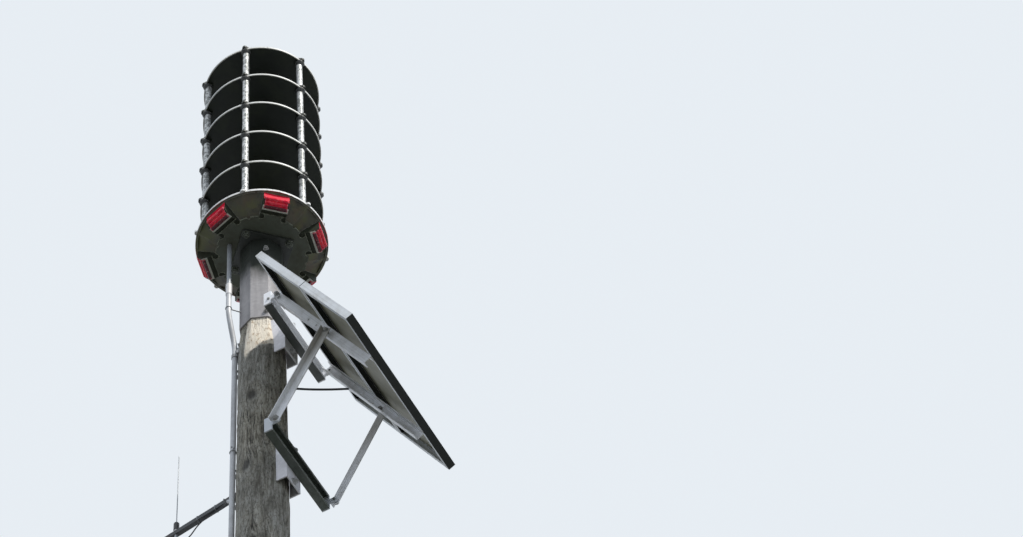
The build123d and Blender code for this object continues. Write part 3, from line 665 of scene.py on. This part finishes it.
# Painted highlight: the lamp's ends, beyond the lens' half width, are a paler pink for the light on their
# rounded corners.
painted_end_highlight = calc(tree, "GREATER_THAN", reach, lens_half)
colour = tint(tree, calc(tree, "MULTIPLY", painted_end_highlight, 0.75), colour, lens_end_highlight)
glint = step_up(tree, noise(tree, place, 75, (1, 1, 1), 4, 0.6), 0.56, 0.68)
colour = tint(tree, calc(tree, "MULTIPLY", glint, 0.5), colour, lens_glint)
tree.links.new(colour, shader.inputs["Base Color"])
tree.links.new(calc(tree, "MULTIPLY_ADD", dirt, 0.35, 0.14), shader.inputs["Roughness"])
shader.inputs["Coat Weight"].default_value = 0.15
shader.inputs["Coat Roughness"].default_value = 0.08
shader.inputs["Specular IOR Level"].default_value = 0.15
shader.inputs["Subsurface Weight"].default_value = 0.15
shader.inputs["Subsurface Scale"].default_value = 0.01
dress(red_lens, *[f"lamp_{number}" for number in range(1, 7)])

bracket_paint = paint_finish(
    "dirty bracket paint", (0.042, 0.048, 0.033, 1), (0.022, 0.021, 0.013, 1), 0.7, 0.5,
    edge=(0.24, 0.25, 0.20, 1),
)
tree = bracket_paint.node_tree
outward = vector_calc(tree, "NORMALIZE", flat_place(tree))["Vector"]
outer_face = vector_calc(tree, "DOT_PRODUCT", outward, face_normal(tree))["Value"]
lay_over(bracket_paint, calc(tree, "GREATER_THAN", outer_face, 0.9), lens_skirt)
shelf_edge = calc(tree, "LESS_THAN", split_place(tree)["Z"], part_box("lamp_brackets")[0].z + shelf_edge_height)
lay_over(bracket_paint, shelf_edge, shelf_edge_colour)
tree.nodes["Principled BSDF"].inputs["Specular IOR Level"].default_value = 0.1
dress(bracket_paint, "lamp_brackets")


# Cross arms.
# Lipped steel channels bolted to the saddles, open on the side away from the pole. The upper one is
# bright zinc, made paler and bluer as a painted sky reflection, with painted shade underneath. The
# lower one hangs in the panels' shadow, which is painted into its zinc as a dark colour. The end
# plates stay pale.
arm_drops = (0.955, 1.955)
end_plate_start = 0.2575
arm_underside_shade = (0.030, 0.036, 0.026, 1)


def pale_ends(material, colour):
    """Turn an arm's zinc pale beyond its two ends, where the end plates are."""
    tree = material.node_tree
    reach = calc(tree, "ABSOLUTE", split_place(tree)["Y"])
    lay_over(material, calc(tree, "GREATER_THAN", reach, end_plate_start), colour)


# Painted reflection: the upper arm's zinc is made pale and bluish, partly for the sky it reflects.
upper_zinc = zinc_finish(
    "arm zinc with painted sky reflection", (0.78, 0.80, 0.83, 1), (0.46, 0.46, 0.44, 1), 0.45, contrast=0.2, metallic=0.1,
)
tree = upper_zinc.node_tree
# Painted shade: the down-facing faces of the arm's lower half are painted near black.
normal = put(tree, "SeparateXYZ", Vector=face_normal(tree)).outputs
underside = step_up(tree, normal["Z"], -0.5, -0.9)
lower_half = calc(tree, "LESS_THAN", split_place(tree)["Z"], rim_level - arm_drops[0])
underside = calc(tree, "MULTIPLY", underside, lower_half)
lay_over(upper_zinc, calc(tree, "MULTIPLY", underside, 0.93), arm_underside_shade)
pale_ends(upper_zinc, (0.90, 0.91, 0.93, 1))
# Painted shade: the lower arm's zinc is painted dark for the panels' shadow that falls on it.
lower_zinc = zinc_finish(
    "arm zinc with painted panel shade", (0.075, 0.090, 0.070, 1), (0.035, 0.042, 0.030, 1), 0.7, contrast=0.25, metallic=0.1,
)
pale_ends(lower_zinc, (0.60, 0.63, 0.66, 1))
dress(upper_zinc, "cross_arm_upper")
dress(lower_zinc, "cross_arm_lower")


# Rails and braces.
# Extruded aluminium channels and angles with a mill finish: fine draw lines run along them, and the
# metal has dulled unevenly. The tops of the braces are browner.
def extrusion_finish(name, slope, colour=(0.93, 0.94, 0.96, 1), metallic=0.1):
    """Mill finish aluminium whose draw lines run along a slope in the XZ plane."""
    material, tree, shader = finish_of(name, 0.42, metallic)
    turned = put(tree, "Mapping", Vector=object_place(tree), Rotation=(0, slope, 0))
    lines = noise(tree, turned.outputs[0], 260, (0.006, 1, 1), 3, 0.6)
    stained = place_group(
        tree, stain_group, Colour=colour, Stain=(0.50, 0.49, 0.45, 1), Amount=0.55, Scale=10.0, Runs=0.2,
    )
    line_share = calc(tree, "MULTIPLY", step_up(tree, lines, 0.45, 0.7), 0.4)
    lined = tint(tree, line_share, stained["Colour"], (0.40, 0.41, 0.42, 1))
    tree.links.new(lined, shader.inputs["Base Color"])
    tree.links.new(calc(tree, "MULTIPLY_ADD", lines, 0.3, 0.28), shader.inputs["Roughness"])
    bump_up(tree, shader, lines, 0.25, 0.0005)
    return material


panel_slope = math.radians(61.7)
brace_slope = math.radians(-61.4)
brown_foot = rim_level - 1.80
brown_top = rim_level - 1.55
brace_brown = (0.34, 0.31, 0.25, 1)
rail_metal = extrusion_finish("drawn rail aluminium", -panel_slope)
brace_metal = extrusion_finish("drawn brace aluminium", -brace_slope)
dress(rail_metal, "rail_near", "rail_far")
tree = brace_metal.node_tree
warm = step_up(tree, split_place(tree)["Z"], brown_foot, brown_top)
lay_over(brace_metal, calc(tree, "MULTIPLY", warm, 0.6), brace_brown)
dress(brace_metal, "brace_near", "brace_far")


# Solar panels.
# Two framed modules of 36 dark blue silicon cells each, laminated behind one sheet of glass. The
# borders are extruded aluminium, and the back of each laminate is a grey olive plastic sheet.
border_metal = extrusion_finish("panel border aluminium", -panel_slope, (0.78, 0.81, 0.83, 1), 0.05)
tree = border_metal.node_tree
# Painted shade: border faces turned down the slope, towards the ground, are painted near black.
border_underside_shade = (0.010, 0.013, 0.009, 1)
slope_down = Vector((math.cos(panel_slope), 0, -math.sin(panel_slope)))
slope_up = Vector((math.sin(panel_slope), 0, math.cos(panel_slope)))
down_facing = vector_calc(tree, "DOT_PRODUCT", face_normal(tree), slope_down)["Value"]
painted_border_shade = calc(tree, "MULTIPLY", step_up(tree, down_facing, 0.6, 0.9), 0.96)
lay_over(border_metal, painted_border_shade, border_underside_shade)
tree.nodes["Principled BSDF"].inputs["Specular IOR Level"].default_value = 0.12
dress(border_metal, "panel_frame_upper", "panel_frame_lower")
cell_size = 0.104
cells_across = 9
cells_down = 4
cell_gap = 0.004
bar_width = 0.0018
finger_pitch = 0.0026
finger_width = 0.0003
cell_dark = (0.006, 0.014, 0.060, 1)
cell_light = (0.016, 0.038, 0.140, 1)
cell_margin = (0.72, 0.73, 0.74, 1)
bar_silver = (0.50, 0.51, 0.53, 1)
finger_silver = (0.35, 0.37, 0.42, 1)
glass_dust = (0.45, 0.42, 0.36, 1)
back_sheet = (0.30, 0.29, 0.22, 1)
back_dirt = (0.16, 0.155, 0.105, 1)


def along(tree, place, direction, centre):
    """Distance of a place from a centre along a direction."""
    reach = vector_calc(tree, "DOT_PRODUCT", place, direction)["Value"]
    return calc(tree, "SUBTRACT", reach, centre.dot(direction))


def stripes(tree, distance, pitch, width, shift=0.5):
    """1 on stripes of a width, where a row of cells a pitch apart meets."""
    share = calc(tree, "FRACT", calc(tree, "ADD", calc(tree, "DIVIDE", distance, pitch), shift))
    middle = calc(tree, "ABSOLUTE", calc(tree, "SUBTRACT", share, 0.5))
    return calc(tree, "LESS_THAN", middle, width / pitch / 2)


def laminate_finish(name, centre):
    """Cells in rows under glass, with a white margin round them, and a plastic sheet at the back."""
    material, tree, shader = finish_of(name, 0.14)
    place = object_place(tree)
    down = along(tree, place, slope_down, centre)
    across = along(tree, place, Vector((0, 1, 0)), centre)
    front = calc(tree, "GREATER_THAN", along(tree, face_normal(tree), slope_up, Vector()), 0.5)
    gaps = stripes(tree, down, cell_size, cell_gap, cells_down / 2 + 0.5)
    gaps = calc(tree, "MAXIMUM", gaps, stripes(tree, across, cell_size, cell_gap, cells_across / 2 + 0.5))
    for distance, count in ((down, cells_down), (across, cells_across)):
        reach = calc(tree, "ABSOLUTE", distance)
        gaps = calc(tree, "MAXIMUM", gaps, calc(tree, "GREATER_THAN", reach, cell_size * count / 2))
    bars = stripes(tree, across, cell_size / 2, bar_width, cells_across)
    fingers = stripes(tree, down, finger_pitch, finger_width)
    cloud = put(tree, "TexVoronoi", Vector=place, Scale=45.0)
    silicon = tint(tree, cloud.outputs["Distance"], cell_dark, cell_light)
    silicon = tint(tree, calc(tree, "MULTIPLY", fingers, 0.35), silicon, finger_silver)
    silicon = tint(tree, bars, silicon, bar_silver)
    silicon = tint(tree, gaps, silicon, cell_margin)
    dust = step_up(tree, noise(tree, place, 9, (1, 1, 1), 5, 0.65), 0.5, 0.75)
    silicon = tint(tree, calc(tree, "MULTIPLY", dust, 0.12), silicon, glass_dust)
    back = place_group(tree, stain_group, Colour=back_sheet, Stain=back_dirt, Amount=0.7, Scale=5.0, Runs=0.2)
    tree.links.new(tint(tree, front, back["Colour"], silicon), shader.inputs["Base Color"])
    dull_back = calc(tree, "MULTIPLY_ADD", front, -0.46, 0.6)
    tree.links.new(calc(tree, "MULTIPLY_ADD", dust, 0.1, dull_back), shader.inputs["Roughness"])
    return material


for half in ("upper", "lower"):
    low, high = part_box(f"panel_glass_{half}")
    dress(laminate_finish(f"cells of the {half} panel", (low + high) / 2), f"panel_glass_{half}")


# Panels' cable.
# A round rubber cable comes out of the pole and lies behind the far rail. It is stiff enough to hold
# itself.
cable_diameter = 0.011
cable_route = [
    (0.106, 0.038, 12.128),
    (0.152, 0.078, 12.136),
    (0.198, 0.119, 12.148),
    (0.244, 0.159, 12.163),
    (0.290, 0.200, 12.181),
    (0.335, 0.240, 12.202),
]


def cord_line(name, route):
    """A smooth curve that the route's points pull on."""
    curve = bpy.data.curves.new(name, "CURVE")
    curve.dimensions = "3D"
    curve.resolution_u = 8
    spline = curve.splines.new("NURBS")
    spline.points.add(len(route) - 1)
    for point, place in zip(spline.points, route):
        point.co = (*place, 1)
    spline.order_u = 3
    spline.use_endpoint_u = True
    line = bpy.data.objects.new(name, curve)
    scene.collection.objects.link(line)
    return line


def line_points(line):
    bpy.context.view_layer.update()
    mesh = bpy.data.meshes.new_from_object(line)
    points = [tuple(vertex.co) for vertex in mesh.vertices]
    bpy.data.meshes.remove(mesh)
    return points


def jacket(name, route, diameter):
    """A round tube of one diameter along a route, and the points of its line."""
    line = cord_line(name, route)
    points = line_points(line)
    line.data.bevel_depth = diameter / 2
    line.data.bevel_resolution = 5
    line.data.use_fill_caps = True
    bpy.ops.object.select_all(action="DESELECT")
    line.select_set(True)
    bpy.context.view_layer.objects.active = line
    bpy.ops.object.convert(target="MESH")
    bpy.ops.object.shade_smooth()
    return bpy.context.object, points


cable_rubber = paint_finish(
    "black cable rubber", (0.018, 0.018, 0.020, 1), (0.05, 0.05, 0.048, 1), 0.6, 0.55,
    edge=(0.06, 0.06, 0.06, 1), wear=0.2,
)
cable, cable_path = jacket("panel_cable_jacket", cable_route, cable_diameter)
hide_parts("panel_cable")
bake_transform(cable)
cable.data.materials.append(cable_rubber)


# Conduit.
# A thin steel riser, a white plastic coupling, and a grey pipe down the pole's side in strap saddles.
pipe_zinc = zinc_finish(
    "conduit zinc", (0.62, 0.63, 0.64, 1), (0.30, 0.30, 0.29, 1), 0.5, contrast=0.12, metallic=0.1,
)
riser_zinc = zinc_finish("riser zinc", (0.34, 0.36, 0.38, 1), (0.15, 0.15, 0.15, 1), 0.5, 0.1)
coupling_plastic = paint_finish(
    "white coupling plastic", (0.74, 0.73, 0.72, 1), (0.42, 0.40, 0.36, 1), 0.5, 0.4, (0.8, 0.8, 0.8, 1), 0.2,
)
dress(pipe_zinc, "conduit")
dress(riser_zinc, "conduit_riser")
dress(coupling_plastic, "conduit_coupling")


# Antenna.
# A square tube arm in worn black paint carries a short whip on a moulded black base with a pale nylon
# ring. Its thin coax drops in a loop from the connector and goes into the conduit.
nylon_ring_height = 0.014
nylon_white = (0.80, 0.80, 0.78, 1)
arm_paint = paint_finish(
    "worn black arm paint", (0.050, 0.055, 0.060, 1), (0.09, 0.07, 0.055, 1), 0.6, 0.5, (0.30, 0.31, 0.32, 1),
)
base_plastic = paint_finish(
    "black base plastic", (0.030, 0.032, 0.036, 1), (0.07, 0.07, 0.07, 1), 0.5, 0.35,
    edge=(0.15, 0.15, 0.16, 1), wear=0.4,
)
whip_steel = zinc_finish("whip steel", (0.42, 0.44, 0.46, 1), (0.3, 0.3, 0.3, 1), 0.3, 0.1, 0.5)
dress(arm_paint, "antenna_arm")
ring_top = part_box("antenna_base")[0].z + nylon_ring_height
nylon_ring = calc(base_plastic.node_tree, "LESS_THAN", split_place(base_plastic.node_tree)["Z"], ring_top)
lay_over(base_plastic, nylon_ring, nylon_white)
dress(base_plastic, "antenna_base")
dress(whip_steel, "antenna_whip", "coax_connector")
coax_diameter = 0.006
coax_route = [
    (-0.495, 0.070, 11.413),
    (-0.495, 0.070, 11.383),
    (-0.485, 0.063, 11.357),
    (-0.459, 0.055, 11.342),
    (-0.427, 0.052, 11.347),
    (-0.401, 0.052, 11.369),
    (-0.380, 0.052, 11.400),
    (-0.356, 0.051, 11.422),
    (-0.317, 0.045, 11.431),
    (-0.267, 0.037, 11.4335),
    (-0.214, 0.024, 11.428),
    (-0.195, 0.002, 11.416),
    (-0.183, -0.025, 11.398),
    (-0.176, -0.047, 11.372),
    (-0.165, -0.059, 11.343),
    (-0.146, -0.0595, 11.3236),
]
coax, coax_path = jacket("antenna_coax_jacket", coax_route, coax_diameter)
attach(coax, "root")
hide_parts("antenna_coax")
coax.data.materials.append(cable_rubber)


# Cabinet.
# A folded steel box in light grey powder coat on two brackets. The photograph ends above it.
cabinet_paint = paint_finish(
    "cabinet powder coat", (0.46, 0.47, 0.46, 1), (0.30, 0.29, 0.26, 1), 0.5, 0.45,
    edge=(0.62, 0.62, 0.6, 1), wear=0.4, grain=0.35,
)
dress(cabinet_paint, "cabinet")
dress(strap_zinc, "cabinet_brackets")


# Clamps and bolts of the head.
# Each post passes through a dark cast clamp at every dish, with a pale nut on top. Big hexagon bolts
# with washers hold the flange under the hub plate.
clamp_circle = 0.305
clamp_radius = 0.026
clamp_foot_radius = 0.016
clamp_cap_radius = 0.022
clamp_depth = 0.012
clamp_taper = 0.016
clamp_cap = 0.011
post_nut_radius = 0.019
post_nut = 0.010
post_turns = [math.radians(13.5 + 60 * count) for count in range(6)]
level_pitch = 0.301
ear_lift = 0.002
ear_half = 0.007
flange_foot = rim_level - 0.112
flange_reach = 0.1591
flange_bolt = 0.019


def around(turn, reach, height):
    """A place on a ring round the pole. The turn is 0 towards -Y and grows towards +X."""
    return Vector((reach * math.sin(turn), -reach * math.cos(turn), height))


def bar(place, axis, radius, length, sides=24):
    """A round or hexagonal bar that starts at a place and runs along an axis."""
    axis = Vector(axis).normalized()
    bpy.ops.mesh.primitive_cylinder_add(
        vertices=sides, radius=radius, depth=length, location=Vector(place) + axis * length / 2,
        rotation=axis.to_track_quat("Z", "Y").to_euler(),
    )
    return bpy.context.object


def bolt(place, axis, size, tail=0.006):
    """A washer and a hexagon nut on a face, with the end of the bolt in it."""
    axis = Vector(axis).normalized()
    washer = size * 0.18
    nut = size * 0.8
    return [
        bar(place, axis, size * 1.15, washer),
        bar(Vector(place) + axis * washer, axis, size * 0.92, nut, 6),
        bar(place, axis, size * 0.5, washer + nut + tail, 12),
    ]


def one_piece(name, pieces, body, material, edge=0.0006):
    """Join pieces into one object at the origin that moves with a body."""
    bpy.ops.object.select_all(action="DESELECT")
    for piece in pieces:
        piece.select_set(True)
    bpy.context.view_layer.objects.active = pieces[0]
    bpy.ops.object.join()
    bpy.ops.object.transform_apply(location=True, rotation=True, scale=True)
    joined = bpy.context.object
    joined.name = name
    softened = joined.modifiers.new("softened edges", "BEVEL")
    softened.width = edge
    softened.segments = 2
    joined.data.materials.append(material)
    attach(joined, body)
    return joined


clamps = []
nuts = []
for turn in post_turns:
    for level in range(1, 6):
        under = rim_level + level_pitch * level + ear_lift - ear_half
        over = under + 2 * ear_half
        clamps.append(bar(around(turn, clamp_circle, under), (0, 0, -1), clamp_radius, clamp_depth))
        bpy.ops.mesh.primitive_cone_add(
            vertices=24, radius1=clamp_foot_radius, radius2=clamp_radius, depth=clamp_taper,
            location=around(turn, clamp_circle, under - clamp_depth - clamp_taper / 2),
        )
        clamps.append(bpy.context.object)
        clamps.append(bar(around(turn, clamp_circle, over), (0, 0, 1), clamp_cap_radius, clamp_cap))
        seat = around(turn, clamp_circle, over + clamp_cap)
        nuts.append(bar(seat, (0, 0, 1), post_nut_radius, post_nut, 6))
# Painted highlight: the clamps' pale edges are partly rubbed paint and partly the light on their top edges.
clamp_paint = paint_finish(
    "black clamp paint with painted edge highlights", (0.008, 0.010, 0.009, 1), (0.02, 0.02, 0.018, 1), 0.5, 0.45,
    edge=(0.60, 0.61, 0.58, 1), wear=0.7,
)
one_piece("post_clamps", clamps, "root", clamp_paint, 0.002)
one_piece("post_nuts", nuts, "root", post_steel, 0.001)

flange_bolts = []
for count in range(4):
    flange_bolts += bolt(around(math.radians(90 * count), flange_reach, flange_foot), (0, 0, -1), flange_bolt)
# Painted highlight: the bolts' pale rims are partly rubbed paint and partly the light on their washers.
dull_bolt = paint_finish(
    "flange bolt paint with painted edge highlights", (0.050, 0.056, 0.042, 1), (0.020, 0.020, 0.016, 1), 0.5, 0.5,
    edge=(0.40, 0.43, 0.34, 1), wear=1.0,
)
one_piece("flange_bolts", flange_bolts, "root", dull_bolt)


# Bolts of the mount.
# The rails and braces turn on bolts at the ends of the cross arms. Bolts right through the pole hold the
# saddles against square plates, each strap has two coach screws, and the sleeve has four bolts.
pins = {joint["name"]: Vector(joint["pos_m"]) for joint in frame["joints"]}
tilt_pin = pins["panel_tilt"]
brace_pin = pins["brace_swing"]
pin_bolt = 0.013
rail_inner_face = 0.248
rail_outer_face = 0.264
brace_outer_face = 0.274
shank_start = 0.2525
shank_radius = 0.006
brace_bolt = 0.012
brace_bolt_reach = 0.563
brace_bolt_drop = 0.008
brace_top = tilt_pin + slope_down * brace_bolt_reach - slope_up * brace_bolt_drop
end_plate_bolt = 0.009
end_plate_face = 0.2595
end_plate_place = Vector((-0.046, 0, -0.004))
saddle_bolt = 0.016
saddle_face = 0.160
saddle_bolt_lift = 0.112
back_plate = 0.040
back_plate_thickness = 0.006
back_plate_sink = 0.004
strap_turn = math.radians(295.9)
strap_count = 6
strap_pitch = 1.6
first_strap = 0.98
strap_foot = 0.003
screw = 0.006
screw_spread = 0.026
sleeve_bolt = 0.013
sleeve_face = 0.106
sleeve_bolt_spread = 0.034
sleeve_bolt_turns = (math.radians(22.5), math.radians(202.5))
sleeve_bolt_drops = (0.205, 0.760)

mount_bolts = []
brace_bolts = []
rail_bolts = []
for side in (-1, 1):
    outward = Vector((0, side, 0))
    mount_bolts += bolt(tilt_pin + outward * rail_outer_face, outward, pin_bolt, 0.004)
    mount_bolts += bolt(brace_pin + outward * brace_outer_face, outward, pin_bolt, 0.004)
    mount_bolts += bolt(tilt_pin + end_plate_place + outward * end_plate_face, outward, end_plate_bolt, 0.002)
    shank = brace_outer_face - shank_start
    brace_bolts.append(bar(brace_top + outward * shank_start, outward, shank_radius, shank, 12))
    brace_bolts += bolt(brace_top + outward * brace_outer_face, outward, brace_bolt)
    rail_bolts += bolt(brace_top + outward * rail_inner_face, -outward, brace_bolt, 0.002)
for arm_drop in arm_drops:
    for lift in (-saddle_bolt_lift, saddle_bolt_lift):
        height = rim_level - arm_drop + lift
        mount_bolts += bolt((saddle_face, 0, height), (1, 0, 0), saddle_bolt)
        back = Vector((back_plate_sink - pole_face(height), 0, height))
        mount_bolts.append(bar(back, (-1, 0, 0), back_plate, back_plate_thickness, 4))
        mount_bolts += bolt(back - Vector((back_plate_thickness, 0, 0)), (-1, 0, 0), saddle_bolt)
strap_outward = around(strap_turn, 1, 0)
strap_along = Vector((0, 0, 1)).cross(strap_outward)
for count in range(strap_count):
    height = rim_level - first_strap - strap_pitch * count
    for side in (-1, 1):
        place = around(strap_turn, pole_face(height) + strap_foot, height)
        mount_bolts += bolt(place + strap_along * side * screw_spread, strap_outward, screw, 0.0)
for turn in sleeve_bolt_turns:
    face_out = around(turn, 1, 0)
    beside = Vector((0, 0, 1)).cross(face_out) * sleeve_bolt_spread
    for drop in sleeve_bolt_drops:
        place = face_out * sleeve_face + beside + Vector((0, 0, rim_level - drop))
        mount_bolts += bolt(place, face_out, sleeve_bolt)
bolt_zinc = zinc_finish(
    "bolt zinc", (0.40, 0.41, 0.40, 1), (0.13, 0.10, 0.07, 1), 0.7, contrast=0.2, metallic=0.3, runs=0.0,
)
one_piece("mount_bolts", mount_bolts, "root", bolt_zinc)
one_piece("brace_bolts", brace_bolts, "braces", bolt_zinc)
one_piece("rail_bolts", rail_bolts, "braces", bolt_zinc)


# Clips and ties.
# Bent wire clips hold the pipe between its straps, and one reaches over to the sleeve. Two plastic
# ties hold nothing now but are still round the antenna's arm.
clip_ring = 0.0150
clip_wire = 0.0022
clip_hook = 0.022
clip_hook_wire = 0.003
clip_nail_radius = 0.005
clip_nail = 0.006
pipe_reach = 0.1738
pipe_turn = math.atan2(-0.113, 0.132)
pipe_radius = 0.0138
first_clip = 1.735
sleeve_clip_drop = 0.662
sleeve_clip_rod = 0.0035
sleeve_clip_reach = 0.048
arm_turn = math.radians(262)
arm_half = 0.012
tie_width = 0.007
tie_band = (0.0275, 0.0275, 0.0)
tie_head = (0.008, 0.006, -0.0165)
tie_reaches = (0.266, 0.369)


def wire_ring(place, radius, wire):
    """One turn of wire round an upright pipe."""
    bpy.ops.mesh.primitive_torus_add(
        location=place, major_segments=24, minor_segments=8, major_radius=radius, minor_radius=wire,
    )
    return bpy.context.object


sleeve_clip = around(pipe_turn, pipe_reach, rim_level - sleeve_clip_drop)
to_sleeve = -around(pipe_turn, 1, 0)
clips = [
    wire_ring(sleeve_clip, clip_ring, clip_wire),
    bar(sleeve_clip + to_sleeve * clip_ring, to_sleeve, sleeve_clip_rod, sleeve_clip_reach, 10),
]
for count in range(strap_count):
    height = rim_level - first_clip - strap_pitch * count
    place = around(strap_turn, pole_face(height) + strap_foot + pipe_radius, height)
    clips.append(wire_ring(place, clip_ring, clip_wire))
    hook = place + strap_along * clip_ring
    clips.append(bar(hook, strap_along - strap_outward * 0.6, clip_hook_wire, clip_hook, 10))
    nail = hook + strap_along * (clip_hook - clip_hook_wire)
    clips.append(bar(nail, strap_outward, clip_nail_radius, clip_nail, 10))
one_piece("pipe_clips", clips, "root", strap_zinc, 0.0003)

tie_plastic = paint_finish(
    "sun-faded tie plastic", (0.20, 0.21, 0.22, 1), (0.10, 0.10, 0.10, 1), 0.5, 0.5,
    edge=(0.4, 0.4, 0.4, 1), wear=0.3,
)
ties = []
arm_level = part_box("antenna_arm")[1].z - arm_half
for reach in tie_reaches:
    for width, height, sink in (tie_band, tie_head):
        bpy.ops.mesh.primitive_cube_add(
            size=1, location=around(arm_turn, reach, arm_level + sink),
            rotation=(0, 0, arm_turn - math.pi / 2), scale=(tie_width, width, height),
        )
        ties.append(bpy.context.object)
one_piece("arm_ties", ties, "root", tie_plastic, 0.001)

low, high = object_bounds()
